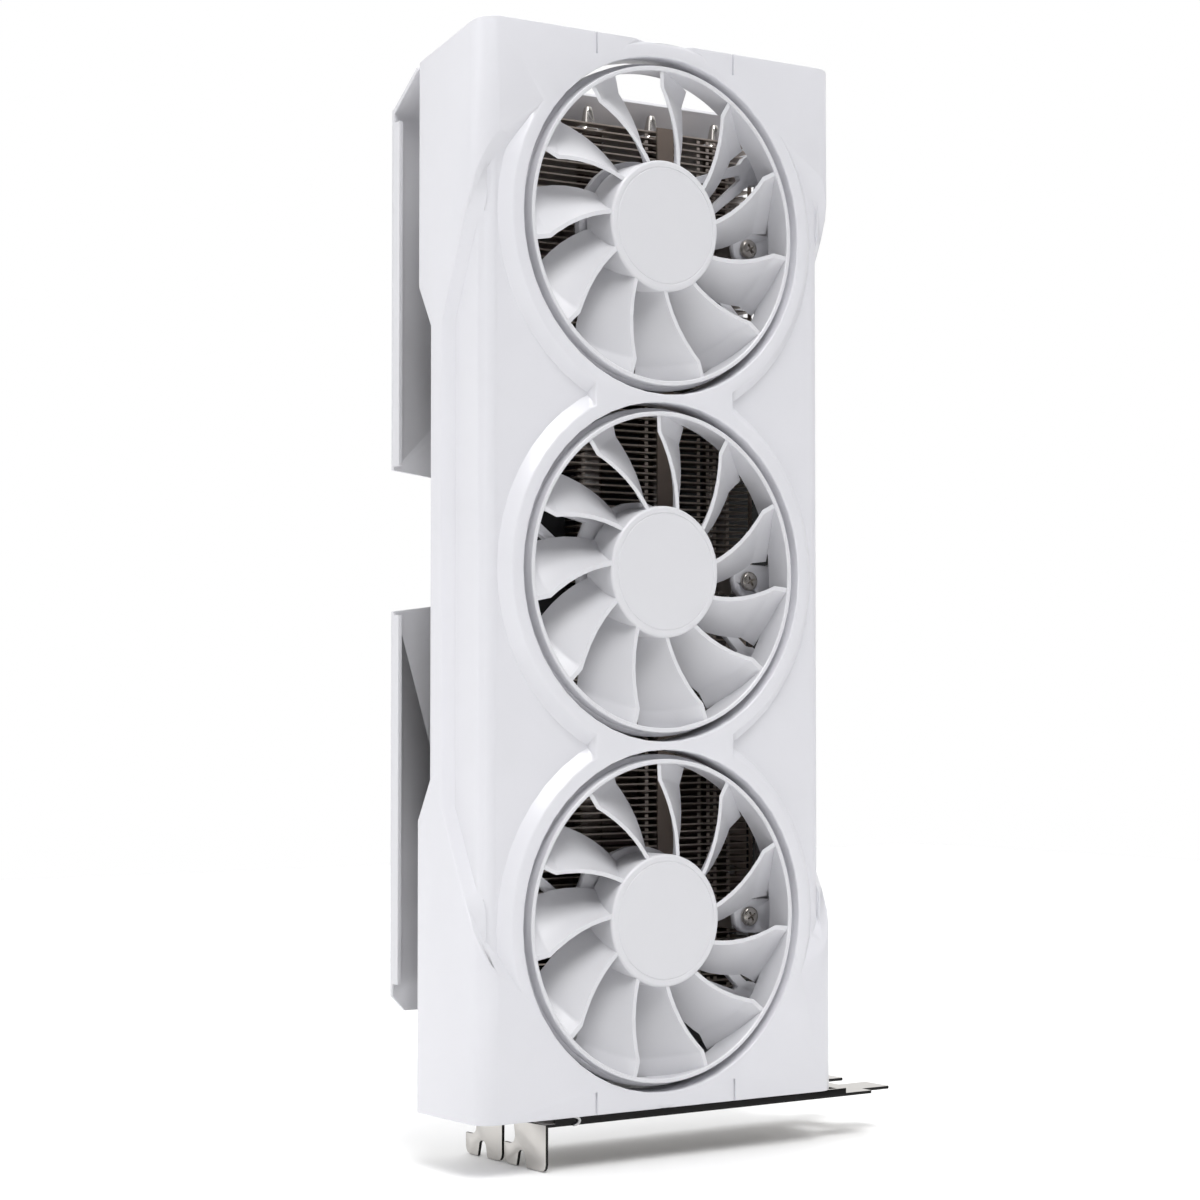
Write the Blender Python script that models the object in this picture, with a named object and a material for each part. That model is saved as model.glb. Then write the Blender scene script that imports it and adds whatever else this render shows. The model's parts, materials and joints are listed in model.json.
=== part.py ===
"""A three-fan graphics card, standing on end with its slot bracket at the bottom.

Metres. +Z runs along the card's length, away from the bracket. The fans face -Y, the board's edge
contacts face +X and its power connectors face -X. The origin lies on the bracket's outer face, in the
plane of the circuit board's component face and on the three fans' common centre line.
"""

import math

import bmesh
import bpy
from mathutils import Matrix, Vector

# ---- driving dimensions: shroud -------------------------------------------------------------------
SHROUD_LENGTH = 0.284
SHROUD_WIDTH = 0.117
SHROUD_SIDE_DEPTH = 0.0306
SHROUD_WAIST_DEPTH = 0.0245  # side depth over the middle of the card
SHROUD_WALL = 0.002
SHROUD_CORNER = 0.0055  # radius of the long front edges
RECESS_CORNER = 0.0038  # the same in the recessed zones, outside the fan collars
WAIST_LOW = 0.0763  # where the shallow middle starts, over the shroud's lower end
WAIST_HIGH = 0.2167
WAIST_SLANT = 0.0108  # length of the slanted step at each end of the middle
SHROUD_BOTTOM = 0.0026  # height of the shroud's lower end over the bracket's outer face
FRONT_TO_BOARD = 0.0379  # from the shroud's front face to the board's component face
TOP_SLOPE = 0.0073  # the far end falls this much from front to rear
END_WALL_DEPTH = 0.012  # depth of the wall that closes the far end
FOOT_WALL_DEPTH = 0.020  # depth of the wall that closes the bracket end

# ---- recessed side zones of the shroud ------------------------------------------------------------
RECESS_DEPTH = 0.0028
RECESS_TOP = 0.2503  # height over the lower end where the upper slanted edge meets the corner
RECESS_BOTTOM = 0.0425
RECESS_TOP_RISE = 0.685  # rise of the slanted edges per metre away from the side
RECESS_BOTTOM_FALL = 0.75
RECESS_TOP_LEAN = 2.3  # rise of the slanted edges per metre of depth, along the side
RECESS_BOTTOM_LEAN = 2.02
SIDE_BEAD_DEPTH = 0.0193  # depth where the side's raised rear strip starts
SIDE_BEVEL = 0.0028  # width of the slanted step round the recess
STRIP_HALF_WIDTH = 0.0226  # raised strip between the fan collars
STRIP_SLOPE = 0.0012  # how far the strip's sides spread down to the recessed face
COLLAR_WIDTH = 0.0035  # raised ring round each fan opening
COLLAR_SLOPE = 0.003

# ---- fans -----------------------------------------------------------------------------------------
FAN_COUNT = 3
FAN_PITCH = 0.0926
OPENING_RADIUS = 0.04525
DUCT_WALL = 0.0018
DUCT_DEPTH = 0.011
BLADE_COUNT = 11
ROTOR_RADIUS = 0.044
ROTOR_LIP_RADIUS = 0.0428
RING_WALL = 0.0014
RING_DEPTH = 0.0092
HUB_RADIUS = 0.0176
HUB_WALL = 0.0012
HUB_DEPTH = 0.0115
BLADE_FRONT = 0.0008
BLADE_REAR = 0.0105
BLADE_THICKNESS = 0.0011
BLADE_SWEEP = math.radians(17.0)  # the front edge leads by this much at the kink
BLADE_KINK = 0.80  # share of the blade's span where the front edge kinks
BLADE_CHORD = math.radians(21.0)  # turn from the front edge to the rear edge
FIRST_BLADE = math.radians(84.2)
ROTOR_TURNS = (math.radians(0.0), math.radians(0.0), math.radians(-1.5))
SHAFT_RADIUS = 0.00125
SLEEVE_RADIUS = 0.0026
RUNNING_GAP = 0.00008
TUBE_WALL = 0.0014
STATOR_POLES = 6
STATOR_FRONT = 0.005
STATOR_DEPTH = 0.006
MAGNET_WALL = 0.0015
AIR_GAP = 0.0008
FRAME_FRONT = 0.013
FRAME_THICKNESS = 0.0022
FRAME_DISC_RADIUS = 0.0192
ARM_ANGLES = (  # the arms of each fan's frame, from the bracket's end up
    (math.radians(155.0), math.radians(215.0), math.radians(-32.0)),
    (math.radians(155.0), math.radians(215.0), math.radians(-32.0)),
    (math.radians(215.0), math.radians(28.0), math.radians(-35.0)),
)
FRAME_SCREWS = 2  # of each frame's three ears; the last one sits on a peg
ARM_ROOT_WIDTH = 0.0150
ARM_TIP_WIDTH = 0.0065
SPOKE_WIDTH = 0.0026
EAR_RADIUS = 0.0480  # distance of the frame's screws from the fan axis
EAR_WIDTH = 0.0085
EAR_OVERHANG = 0.0038
TAB_ANGLE = math.radians(-2.0)
TAB_RADIUS = 0.0373  # distance of the shroud's screws from the fan axis
TAB_WIDTH = 0.0105
TAB_FRONT = 0.0128
TAB_THICKNESS = 0.0022
POST_SIDE = 0.0070  # the cooler's posts under the shroud's tabs

# ---- screws ---------------------------------------------------------------------------------------
SCREW_RADIUS = 0.0013
SCREW_HEAD_RADIUS = 0.00265
SCREW_HEAD_HEIGHT = 0.0015
SCREW_HOLE_RADIUS = 0.0017
GAP = 0.0003  # left between touching pieces
MARGIN = 0.001  # how far a cutter passes the face it goes through
CLEAR = 0.01  # the same for the shroud's large cutters

# ---- circuit board, standard card edge ------------------------------------------------------------
BOARD_THICKNESS = 0.00157
BOARD_LENGTH = 0.206
BOARD_START = 0.0012
FLANGE_FACE = -0.0352  # the bracket flange's mating face, the datum of the card's height
BOARD_SIDE = -0.0345
CONTACT_EDGE = 0.0766
CONTACT_HEIGHT = 0.00825
CONTACT_START = 0.0443
CONTACT_SHORT = 0.01165
KEY_WIDTH = 0.0019
CONTACT_LONG = 0.07165

# ---- slot bracket, standard two-slot size ---------------------------------------------------------
BRACKET_THICKNESS = 0.0009
BRACKET_FRONT = -0.0344
BRACKET_WIDTH = 0.03874
BRACKET_LENGTH = 0.12002  # from the flange's outer face to the tongues' tips
FLANGE_HEIGHT = 0.01143
TONGUE_WIDTH = 0.01019
TONGUE_LENGTH = 0.0099
LIP_SETBACK = 0.0092  # from the plate's full-width end to the end of its lip
TONGUE_INSET = 0.0041
SLOT_PITCH = 0.02032
LIP_HEIGHT = 0.0023
CONNECTOR_PITCH = 0.0205
CONNECTOR_WIDTH = 0.0162
CONNECTOR_HEIGHT = 0.006
CONNECTOR_LENGTH = 0.020
CONNECTOR_COUNT = 4
CONNECTOR_LIFT = 0.0013
SHELL_WALL = 0.0006
SHELL_BORE = 0.011  # depth of a display connector's mouth
VENT_COUNT = 9
VENT_PITCH = 0.0105
VENT_START = 0.014  # first vent window, from the flange's outer face
VENT_LENGTH = 0.0065
VENT_FRONT = 0.006  # the windows' lower and upper side, from the bracket's front edge
VENT_REAR = 0.018
FLANGE_CORNER = 0.002
SLOT_FROM_REAR = 0.0084  # middle of the screw slot, from the section's rear edge
SLOT_HALF = 0.0014
SLOT_MOUTH_HALF = 0.0023
SLOT_HEIGHT = 0.0042
EDGE_NOTCH_RADIUS = 0.0022
EDGE_NOTCH_DEPTH = 0.0052
EDGE_NOTCH_HEIGHT = 0.0036  # middle of the notch, under the plate's outer face

# ---- cooler ---------------------------------------------------------------------------------------
FIN_FRONT = -0.0145
FIN_REAR = -0.0055
FIN_LEFT = -0.0442
FIN_RIGHT = 0.0475
FIN_START = 0.0245
FIN_END = 0.2686
FIN_COUNT = 14
FIN_THICKNESS = 0.0012
SPINE_WIDTH = 0.0055
SPINE_CENTRE = 0.0165
PIPE_CENTRES = (-0.0045, 0.0169, 0.0391)
PIPE_WIDTH = 0.0086
PIPE_HEIGHT = 0.0046
PIPE_TIP = 0.0042
CHIP_X = 0.0155
CHIP_Z = 0.094
PACKAGE_SIDE = 0.044
PACKAGE_HEIGHT = 0.0019
DIE_SIDE = 0.022
BASE_SIDE = 0.074
BASE_THICKNESS = 0.0026
CHIP_SCREW_PITCH = 0.064
RETENTION_THICKNESS = 0.0012

# ---- power connectors -----------------------------------------------------------------------------
POWER_COUNT = 2
POWER_WIDTH = 0.0184
POWER_PITCH = 0.0192
POWER_LENGTH = 0.021
POWER_HEIGHT = 0.0108
POWER_Z = 0.1528
POWER_MOUTH = 0.012  # depth of a connector's mouth
POWER_MOUTH_WALL = (0.0012, 0.0009)  # wall round the mouth, in depth and in height

# ---- backplate ------------------------------------------------------------------------------------
PLATE_FACE = 0.0066  # outer face
PLATE_THICKNESS = 0.0012
PLATE_RIGHT = 0.060
PLATE_START = 0.0318
WING_DEPTH = 0.0038
WING_START = 0.0350
PLATE_BEND = 0.2689
TOP_FLANGE_EDGE = 0.2782
TOP_FLANGE_DEPTH = 0.0127
NOTCH_LOW = 0.1341
NOTCH_HIGH = 0.1718
NOTCH_DEPTH = 0.022
NOTCH_TAPER = 0.0027
STANDOFF_RADIUS = 0.0035
PLATE_SCREWS = ((-0.028, 0.042), (0.052, 0.042), (-0.028, 0.198), (0.052, 0.198))

# ---- leads and header -----------------------------------------------------------------------------
LEAD_RADIUS = 0.0008
LEAD_LANES = (-0.0465, -0.0465, -0.0508)  # where each lead runs along the card, beside the fins
LEAD_DEPTH = -0.0036
LEAD_ARMS = (0, 1, 0)  # the arm of each fan's frame that its lead follows
LEAD_SIDES = (-1, 1, 1)  # which side of that arm's centre line it takes
LEAD_PLUGS = (-1, 1, 0)  # its place in the header, from the middle one
LEAD_OFFSET = 0.0045
LEAD_PASS = 0.0165  # depth in front of the board where the far fan's lead passes the power sockets
LEAD_RETURN = 0.126  # height where that lead has passed them
LEAD_STEPS = 4
LEAD_EASE = 0.7  # length of a curve's tangents, as a share of the shorter span beside the point
HEADER_Z = 0.098
HEADER_HEIGHT = 0.0048
HEADER_DEPTH = 0.006
HEADER_LENGTH = 0.0125
CHOKE_COUNT = 7
CHOKE_PITCH = 0.0085
CHOKE_SIDE = 0.007
CHOKE_WIDTH = 0.0062
CHOKE_HEIGHT = 0.0045

# ---- derived --------------------------------------------------------------------------------------
FRONT = -FRONT_TO_BOARD
HALF_WIDTH = SHROUD_WIDTH / 2
SHROUD_TOP = SHROUD_BOTTOM + SHROUD_LENGTH
MIDDLE = SHROUD_BOTTOM + SHROUD_LENGTH / 2
FAN_HEIGHTS = [MIDDLE + (index - (FAN_COUNT - 1) / 2) * FAN_PITCH for index in range(FAN_COUNT)]
INNER_HALF = HALF_WIDTH - RECESS_DEPTH - SHROUD_WALL
FLANGE_OUTER = FLANGE_FACE - BRACKET_THICKNESS
BRACKET_END = FLANGE_OUTER + BRACKET_LENGTH - TONGUE_LENGTH
BRACKET_REAR = BRACKET_FRONT + BRACKET_WIDTH
FRAME_REAR = FRAME_FRONT + FRAME_THICKNESS
TAB_REAR = TAB_FRONT + TAB_THICKNESS
TUBE_RADIUS = SLEEVE_RADIUS + GAP + TUBE_WALL
MAGNET_RADIUS = HUB_RADIUS - HUB_WALL - GAP
BASE_REAR = -GAP - PACKAGE_HEIGHT - GAP
BASE_FRONT = BASE_REAR - BASE_THICKNESS
RETENTION_FRONT = BOARD_THICKNESS + GAP
HEADER_LEFT = BOARD_SIDE + 0.0005
CHIP_SCREWS = [
    (CHIP_X + side * CHIP_SCREW_PITCH / 2, CHIP_Z + rise * CHIP_SCREW_PITCH / 2)
    for side in (-1, 1)
    for rise in (-1, 1)
]
FULL_TURN = 2 * math.pi
OPENING_SEGMENTS = 48
ROTOR_SEGMENTS = 3 * BLADE_COUNT
HUB_SEGMENTS = 3 * BLADE_COUNT
SMALL_SEGMENTS = 16
HOLE_SEGMENTS = 8


# ---- helpers --------------------------------------------------------------------------------------
def clear_scene():
    """Remove every object of the open file."""
    for existing in list(bpy.data.objects):
        bpy.data.objects.remove(existing, do_unlink=True)


def material(name, colour, roughness, metallic=0.0):
    """A plain Principled material."""
    made = bpy.data.materials.new(name)
    made.use_nodes = True
    shader = made.node_tree.nodes["Principled BSDF"]
    shader.inputs["Base Color"].default_value = (*colour, 1.0)
    shader.inputs["Roughness"].default_value = roughness
    shader.inputs["Metallic"].default_value = metallic
    return made


def link(name, mesh, finish, parent=None, turn=0.0):
    """Put a mesh in the scene as one named object, on its fan's empty where it has one."""
    made = bpy.data.objects.new(name, mesh)
    if not mesh.materials:
        mesh.materials.append(finish)
    bpy.context.scene.collection.objects.link(made)
    if parent is not None:
        made.parent = parent
        made.rotation_euler = (0.0, -turn, 0.0)
    return made


def mesh_from(bm, name):
    """Close a bmesh into a mesh with outward faces, shaded smooth but for its sharp edges."""
    bmesh.ops.recalc_face_normals(bm, faces=bm.faces)
    mesh = bpy.data.meshes.new(name)
    bm.to_mesh(mesh)
    bm.free()
    mesh.shade_smooth()
    mesh.set_sharp_from_angle(angle=math.radians(35))
    return mesh


def add_prism(bm, outline, axis, low, high):
    """Extrude a closed outline of (u, v) points along X, Y or Z, between two planes."""

    def place(u, v, along):
        return {"X": (along, u, v), "Y": (u, along, v), "Z": (u, v, along)}[axis]

    near = [bm.verts.new(place(u, v, low)) for u, v in outline]
    far = [bm.verts.new(place(u, v, high)) for u, v in outline]
    bm.faces.new(near)
    bm.faces.new(far)
    count = len(outline)
    for index in range(count):
        after = (index + 1) % count
        bm.faces.new((near[index], near[after], far[after], far[index]))


def add_box(bm, low, high):
    """A box between two corners."""
    corners = [(low[0], low[1]), (high[0], low[1]), (high[0], high[1]), (low[0], high[1])]
    add_prism(bm, corners, "Z", low[2], high[2])


def add_hull(bm, points):
    """The convex solid over a set of points."""
    corners = [bm.verts.new(point) for point in points]
    result = bmesh.ops.convex_hull(bm, input=corners)
    loose = [item for item in result["geom_interior"] if isinstance(item, bmesh.types.BMVert)]
    bmesh.ops.delete(bm, geom=loose, context="VERTS")


def add_turned(bm, profile, centre, segments):
    """Turn a closed profile of (radius, depth) points round an axis along Y."""
    rings = []
    for radius, depth in profile:
        if radius == 0.0:
            rings.append([bm.verts.new((centre[0], centre[1] + depth, centre[2]))])
            continue
        ring = []
        for step in range(segments):
            angle = FULL_TURN * step / segments
            x = centre[0] + radius * math.cos(angle)
            z = centre[2] + radius * math.sin(angle)
            ring.append(bm.verts.new((x, centre[1] + depth, z)))
        rings.append(ring)
    pairs = zip(rings, rings[1:] + rings[:1])
    for first, second in pairs:
        if len(first) == 1 and len(second) == 1:
            continue
        for step in range(segments):
            after = (step + 1) % segments
            corners = {
                first[step % len(first)]: None,
                first[after % len(first)]: None,
                second[after % len(second)]: None,
                second[step % len(second)]: None,
            }
            bm.faces.new(list(corners))


def solid(*shapes):
    """A hidden working object built from shape calls, each a function and its arguments."""
    bm = bmesh.new()
    for shape, *values in shapes:
        shape(bm, *values)
    made = bpy.data.objects.new("work", mesh_from(bm, "work"))
    bpy.context.scene.collection.objects.link(made)
    made.hide_render = True
    return made


def combine(target, other, operation, solver="EXACT"):
    """Apply a Boolean of two closed working objects to the first and remove the second.

    MANIFOLD is kept for shapes with many coplanar faces, where EXACT leaves open edges.
    """
    modifier = target.modifiers.new("Combine", "BOOLEAN")
    modifier.operation = operation
    modifier.solver = solver
    modifier.object = other
    bpy.context.view_layer.update()
    graph = bpy.context.evaluated_depsgraph_get()
    result = bpy.data.meshes.new_from_object(target.evaluated_get(graph))
    target.modifiers.clear()
    target.data = result
    bpy.data.objects.remove(other, do_unlink=True)


def finished(name, work, finish, parent=None, turn=0.0):
    """Turn a working object into its named piece."""
    mesh = work.data
    mesh.name = name
    mesh.materials.clear()
    mesh.shade_smooth()
    mesh.set_sharp_from_angle(angle=math.radians(35))
    bpy.data.objects.remove(work, do_unlink=True)
    return link(name, mesh, finish, parent, turn)


def arc(centre, radius, start, end, steps):
    """Points on a circle from one angle to another, both ends included."""
    return [
        (
            centre[0] + radius * math.cos(start + (end - start) * step / steps),
            centre[1] + radius * math.sin(start + (end - start) * step / steps),
        )
        for step in range(steps + 1)
    ]


def hole(x, z, radius, low, high):
    """A round cutter along Y."""
    profile = [(0.0, low), (0.0, high), (radius, high), (radius, low)]
    return (add_turned, profile, (x, 0.0, z), HOLE_SEGMENTS)


def cross_section(half, front, rear, radius):
    """The shroud's outline seen along its length, with rounded front corners."""
    left = arc((-half + radius, front + radius), radius, math.pi, 1.5 * math.pi, 5)
    right = arc((half - radius, front + radius), radius, 1.5 * math.pi, 2 * math.pi, 5)
    return [(-half, rear)] + left + right + [(half, rear)]


# ---- shroud ---------------------------------------------------------------------------------------
def recess_step(bm, side, end):
    """The raised side skin beyond a slanted edge of the recess, with its bevelled step."""
    top = end == "top"
    sign = 1.0 if top else -1.0
    lean = RECESS_TOP_LEAN if top else RECESS_BOTTOM_LEAN
    start = SHROUD_BOTTOM + (RECESS_TOP if top else RECESS_BOTTOM)
    limit = SHROUD_TOP - TOP_SLOPE * 1.2 if top else SHROUD_BOTTOM
    slant = SIDE_BEVEL * math.hypot(1.0, lean)
    points = []
    for inset, widen in ((0.0, 0.0), (RECESS_DEPTH + SHROUD_WALL / 2, slant)):
        x = side * (HALF_WIDTH - inset)
        front = SHROUD_CORNER if inset == 0.0 else RECESS_DEPTH
        for depth in (front, SIDE_BEAD_DEPTH + GAP):
            edge = start - sign * (lean * depth + widen)
            points.append((x, FRONT + depth, edge))
            points.append((x, FRONT + depth, limit))
    add_hull(bm, points)


def end_block(end):
    """A full-height end of the shroud, cut by the two slanted edges of its recesses."""
    top = end == "top"
    rise = RECESS_TOP_RISE if top else -RECESS_BOTTOM_FALL
    lean = -RECESS_TOP_LEAN if top else RECESS_BOTTOM_LEAN
    start = SHROUD_BOTTOM + (RECESS_TOP if top else RECESS_BOTTOM)
    low, high = (MIDDLE, SHROUD_TOP) if top else (SHROUD_BOTTOM, MIDDLE)
    outline = cross_section(HALF_WIDTH, FRONT, FRONT + SHROUD_SIDE_DEPTH, SHROUD_CORNER)
    block = solid((add_prism, outline, "Z", low, high))
    beyond = -SHROUD_LENGTH if top else SHROUD_LENGTH
    for side in (-1, 1):
        wedge = []
        for across in (-CLEAR, HALF_WIDTH):
            for depth in (-CLEAR, SHROUD_SIDE_DEPTH + CLEAR):
                x = side * (HALF_WIDTH - across)
                edge = start + rise * across + lean * depth
                wedge.append((x, FRONT + depth, edge))
                wedge.append((x, FRONT + depth, MIDDLE + beyond))
        combine(block, solid((add_hull, wedge)), "DIFFERENCE")
    return block


def waist_cut():
    """What is cut off the rear of the shroud: the slope of its far end and the shallow middle."""
    rear = FRONT + SHROUD_SIDE_DEPTH
    waist = FRONT + SHROUD_WAIST_DEPTH
    out = HALF_WIDTH + CLEAR
    low = SHROUD_BOTTOM + WAIST_LOW
    high = SHROUD_BOTTOM + WAIST_HIGH
    shallow = [(rear + CLEAR, low), (rear, low), (waist, low + WAIST_SLANT), (waist, high - WAIST_SLANT)]
    shallow += [(rear, high), (rear + CLEAR, high)]
    sloped = [(FRONT - CLEAR, SHROUD_TOP + CLEAR), (FRONT, SHROUD_TOP), (rear, SHROUD_TOP - TOP_SLOPE)]
    sloped += [(rear + CLEAR, SHROUD_TOP - TOP_SLOPE), (rear + CLEAR, SHROUD_TOP + CLEAR)]
    cut = solid((add_prism, shallow, "X", -out, out), (add_prism, sloped, "X", -out, out))
    below = (add_box, (-out, FRONT - CLEAR, SHROUD_BOTTOM - CLEAR), (out, rear + 2 * CLEAR, SHROUD_BOTTOM))
    combine(cut, solid(below), "UNION")
    return cut


def collar(height):
    """The raised ring round one fan opening, sloping down to the recessed face."""
    outer = OPENING_RADIUS + COLLAR_WIDTH
    profile = [
        (0.0, 0.0),
        (outer, 0.0),
        (outer + COLLAR_SLOPE, RECESS_DEPTH),
        (outer + COLLAR_SLOPE, RECESS_DEPTH + SHROUD_WALL / 2),
        (0.0, RECESS_DEPTH + SHROUD_WALL / 2),
    ]
    return solid((add_turned, profile, (0.0, FRONT, height), OPENING_SEGMENTS))


def duct(height):
    """The wall behind one opening that guides the fan's air."""
    outer = OPENING_RADIUS + DUCT_WALL
    profile = [(0.0, RECESS_DEPTH), (outer, RECESS_DEPTH), (outer, DUCT_DEPTH), (0.0, DUCT_DEPTH)]
    return solid((add_turned, profile, (0.0, FRONT, height), OPENING_SEGMENTS))


def radial_box(bm, height, angle, inner, outer, width, near, far):
    """A box that points away from a fan's axis, from one radius to another."""
    turn = Matrix.Rotation(-angle, 4, "Y")
    corners = []
    for radius in (inner, outer):
        for across in (-width / 2, width / 2):
            for depth in (near, far):
                spot = turn @ Vector((radius, 0.0, across))
                corners.append((spot.x, FRONT + depth, height + spot.z))
    add_hull(bm, corners)


def make_shroud(finish):
    """The moulded front shell, in one piece with its ducts and the ledges for the fan frames."""
    core_rear = FRONT + SHROUD_SIDE_DEPTH
    bead = SIDE_BEAD_DEPTH
    inset = HALF_WIDTH - RECESS_DEPTH
    middle = (-inset + RECESS_CORNER, FRONT + RECESS_DEPTH + RECESS_CORNER)
    left = arc(middle, RECESS_CORNER, math.pi, 1.5 * math.pi, 5)
    right = [(-x, y) for x, y in reversed(left)]
    core = [(-HALF_WIDTH, core_rear), (-HALF_WIDTH, FRONT + bead), (-inset, FRONT + bead - SIDE_BEVEL)]
    core += left + right
    core += [(inset, FRONT + bead - SIDE_BEVEL), (HALF_WIDTH, FRONT + bead), (HALF_WIDTH, core_rear)]
    body = solid((add_prism, core, "Z", SHROUD_BOTTOM + GAP, SHROUD_TOP - GAP))
    for end in ("top", "bottom"):
        combine(body, end_block(end), "UNION")
        for side in (-1, 1):
            combine(body, solid((recess_step, side, end)), "UNION")
    strip = [(-STRIP_HALF_WIDTH, FRONT), (STRIP_HALF_WIDTH, FRONT)]
    foot = STRIP_HALF_WIDTH + STRIP_SLOPE
    deep = FRONT + RECESS_DEPTH + SHROUD_WALL / 2
    strip += [(foot, deep), (-foot, deep)]
    combine(body, solid((add_prism, strip, "Z", FAN_HEIGHTS[0], FAN_HEIGHTS[-1])), "UNION")
    for height in FAN_HEIGHTS:
        combine(body, collar(height), "UNION")
    combine(body, shroud_cavity(), "DIFFERENCE")
    combine(body, waist_cut(), "DIFFERENCE")
    for height in FAN_HEIGHTS:
        combine(body, duct(height), "UNION")
    combine(body, frame_posts(), "UNION")
    combine(body, side_tabs(), "UNION")
    near, far = -CLEAR, DUCT_DEPTH + MARGIN
    bore = [(0.0, near), (OPENING_RADIUS, near), (OPENING_RADIUS, far), (0.0, far)]
    bores = solid(*[(add_turned, bore, (0.0, FRONT, height), OPENING_SEGMENTS) for height in FAN_HEIGHTS])
    combine(body, bores, "DIFFERENCE", "MANIFOLD")
    combine(body, screw_tabs(), "UNION", "MANIFOLD")
    combine(body, shroud_screw_holes(), "DIFFERENCE", "MANIFOLD")
    combine(body, frame_pegs(), "UNION", "MANIFOLD")
    return finished("shroud", body, finish)


def shroud_cavity():
    """The hollow inside the shroud, open at the rear and behind the far end's wall."""
    front = FRONT + RECESS_DEPTH + SHROUD_WALL
    rear = FRONT + SHROUD_SIDE_DEPTH + CLEAR
    low = SHROUD_BOTTOM + SHROUD_WALL
    high = SHROUD_TOP - SHROUD_WALL
    end_wall = FRONT + END_WALL_DEPTH
    foot_wall = FRONT + FOOT_WALL_DEPTH
    exhaust = (add_box, (-INNER_HALF, end_wall, high - CLEAR), (INNER_HALF, rear, SHROUD_TOP + CLEAR))
    entry = (add_box, (-INNER_HALF, foot_wall, SHROUD_BOTTOM - CLEAR), (INNER_HALF, rear, low + CLEAR))
    cavity = solid((add_box, (-INNER_HALF, front, low), (INNER_HALF, rear, high)))
    combine(cavity, solid(exhaust), "UNION")
    combine(cavity, solid(entry), "UNION")
    return cavity


def frame_posts():
    """Posts outside each duct: those that carry the fan frame's ears and the root of the screw tab."""
    inner = OPENING_RADIUS + 0.0002
    start = DUCT_DEPTH / 2
    shapes = []
    for height, angles in zip(FAN_HEIGHTS, ARM_ANGLES):
        for angle in angles:
            outer = EAR_RADIUS + EAR_OVERHANG
            shapes.append((radial_box, height, angle, inner, outer, EAR_WIDTH, start, FRAME_FRONT - GAP))
        outer = OPENING_RADIUS + DUCT_WALL + 0.0025
        shapes.append((radial_box, height, TAB_ANGLE, inner, outer, TAB_WIDTH, start, TAB_REAR))
    return solid(*shapes)


def screw_tabs():
    """Tabs that reach inwards behind the rotors, for the screws that hold the shroud to the cooler."""
    return solid(*[(screw_tab, height) for height in FAN_HEIGHTS])


def screw_tab(bm, height):
    """One tab, a strip that ends in a half circle round its screw."""
    half = (TAB_WIDTH - MARGIN) / 2
    outer = OPENING_RADIUS + DUCT_WALL + MARGIN
    points = [(outer, half)] + arc((TAB_RADIUS, 0.0), half, math.pi / 2, 1.5 * math.pi, 6) + [(outer, -half)]
    outline = [(x, height + z) for x, z in turned_outline(points, TAB_ANGLE)]
    add_prism(bm, outline, "Y", FRONT + TAB_FRONT, FRONT + TAB_REAR - 0.0002)


def shroud_screw_holes():
    """Holes through the tabs and pilot holes in the frame posts."""
    tabs = [
        hole(x, z, SCREW_HOLE_RADIUS, FRONT + TAB_FRONT - MARGIN, FRONT + TAB_REAR + MARGIN)
        for x, z in tab_screw_places()
    ]
    posts = [
        hole(x, z, SCREW_HOLE_RADIUS, FRONT + FRAME_FRONT - 5 * MARGIN, FRONT + FRAME_FRONT + MARGIN)
        for x, z in frame_screw_places()
    ]
    return solid(*tabs, *posts)


def tab_screw_places():
    """Where the shroud's screws sit, one beside each fan."""
    across = TAB_RADIUS * math.cos(TAB_ANGLE)
    return [(across, height + TAB_RADIUS * math.sin(TAB_ANGLE)) for height in FAN_HEIGHTS]


def ear_places(first, last):
    """Where the given ears of the fan frames sit, fan by fan."""
    return [
        (EAR_RADIUS * math.cos(angle), height + EAR_RADIUS * math.sin(angle))
        for height, angles in zip(FAN_HEIGHTS, ARM_ANGLES)
        for angle in angles[first:last]
    ]


def frame_screw_places():
    """Where the fan frames' screws sit, two for each fan."""
    return ear_places(0, FRAME_SCREWS)


def frame_pegs():
    """Pegs that pass through each frame's last ear."""
    low, high = FRONT + FRAME_FRONT - 0.002, FRONT + FRAME_REAR
    profile = [(0.0, low), (0.0, high), (SCREW_RADIUS, high), (SCREW_RADIUS, low)]
    places = ear_places(FRAME_SCREWS, len(ARM_ANGLES[0]))
    return solid(*[(add_turned, profile, (x, 0.0, z), HOLE_SEGMENTS) for x, z in places])


def side_tabs():
    """Tabs on the shroud's inner sides that rest against the fin stack."""
    depth = (FRONT + SHROUD_WAIST_DEPTH - 0.006, FRONT + SHROUD_WAIST_DEPTH - 0.0005)
    shapes = []
    for height in (FAN_HEIGHTS[0] - 0.012, FAN_HEIGHTS[2] + 0.012):
        low, high = height - 0.004, height + 0.004
        shapes.append((add_box, (-INNER_HALF - 0.001, depth[0], low), (FIN_LEFT - GAP, depth[1], high)))
        shapes.append((add_box, (FIN_RIGHT + GAP, depth[0], low), (INNER_HALF + 0.001, depth[1], high)))
    return solid(*shapes)


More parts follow.
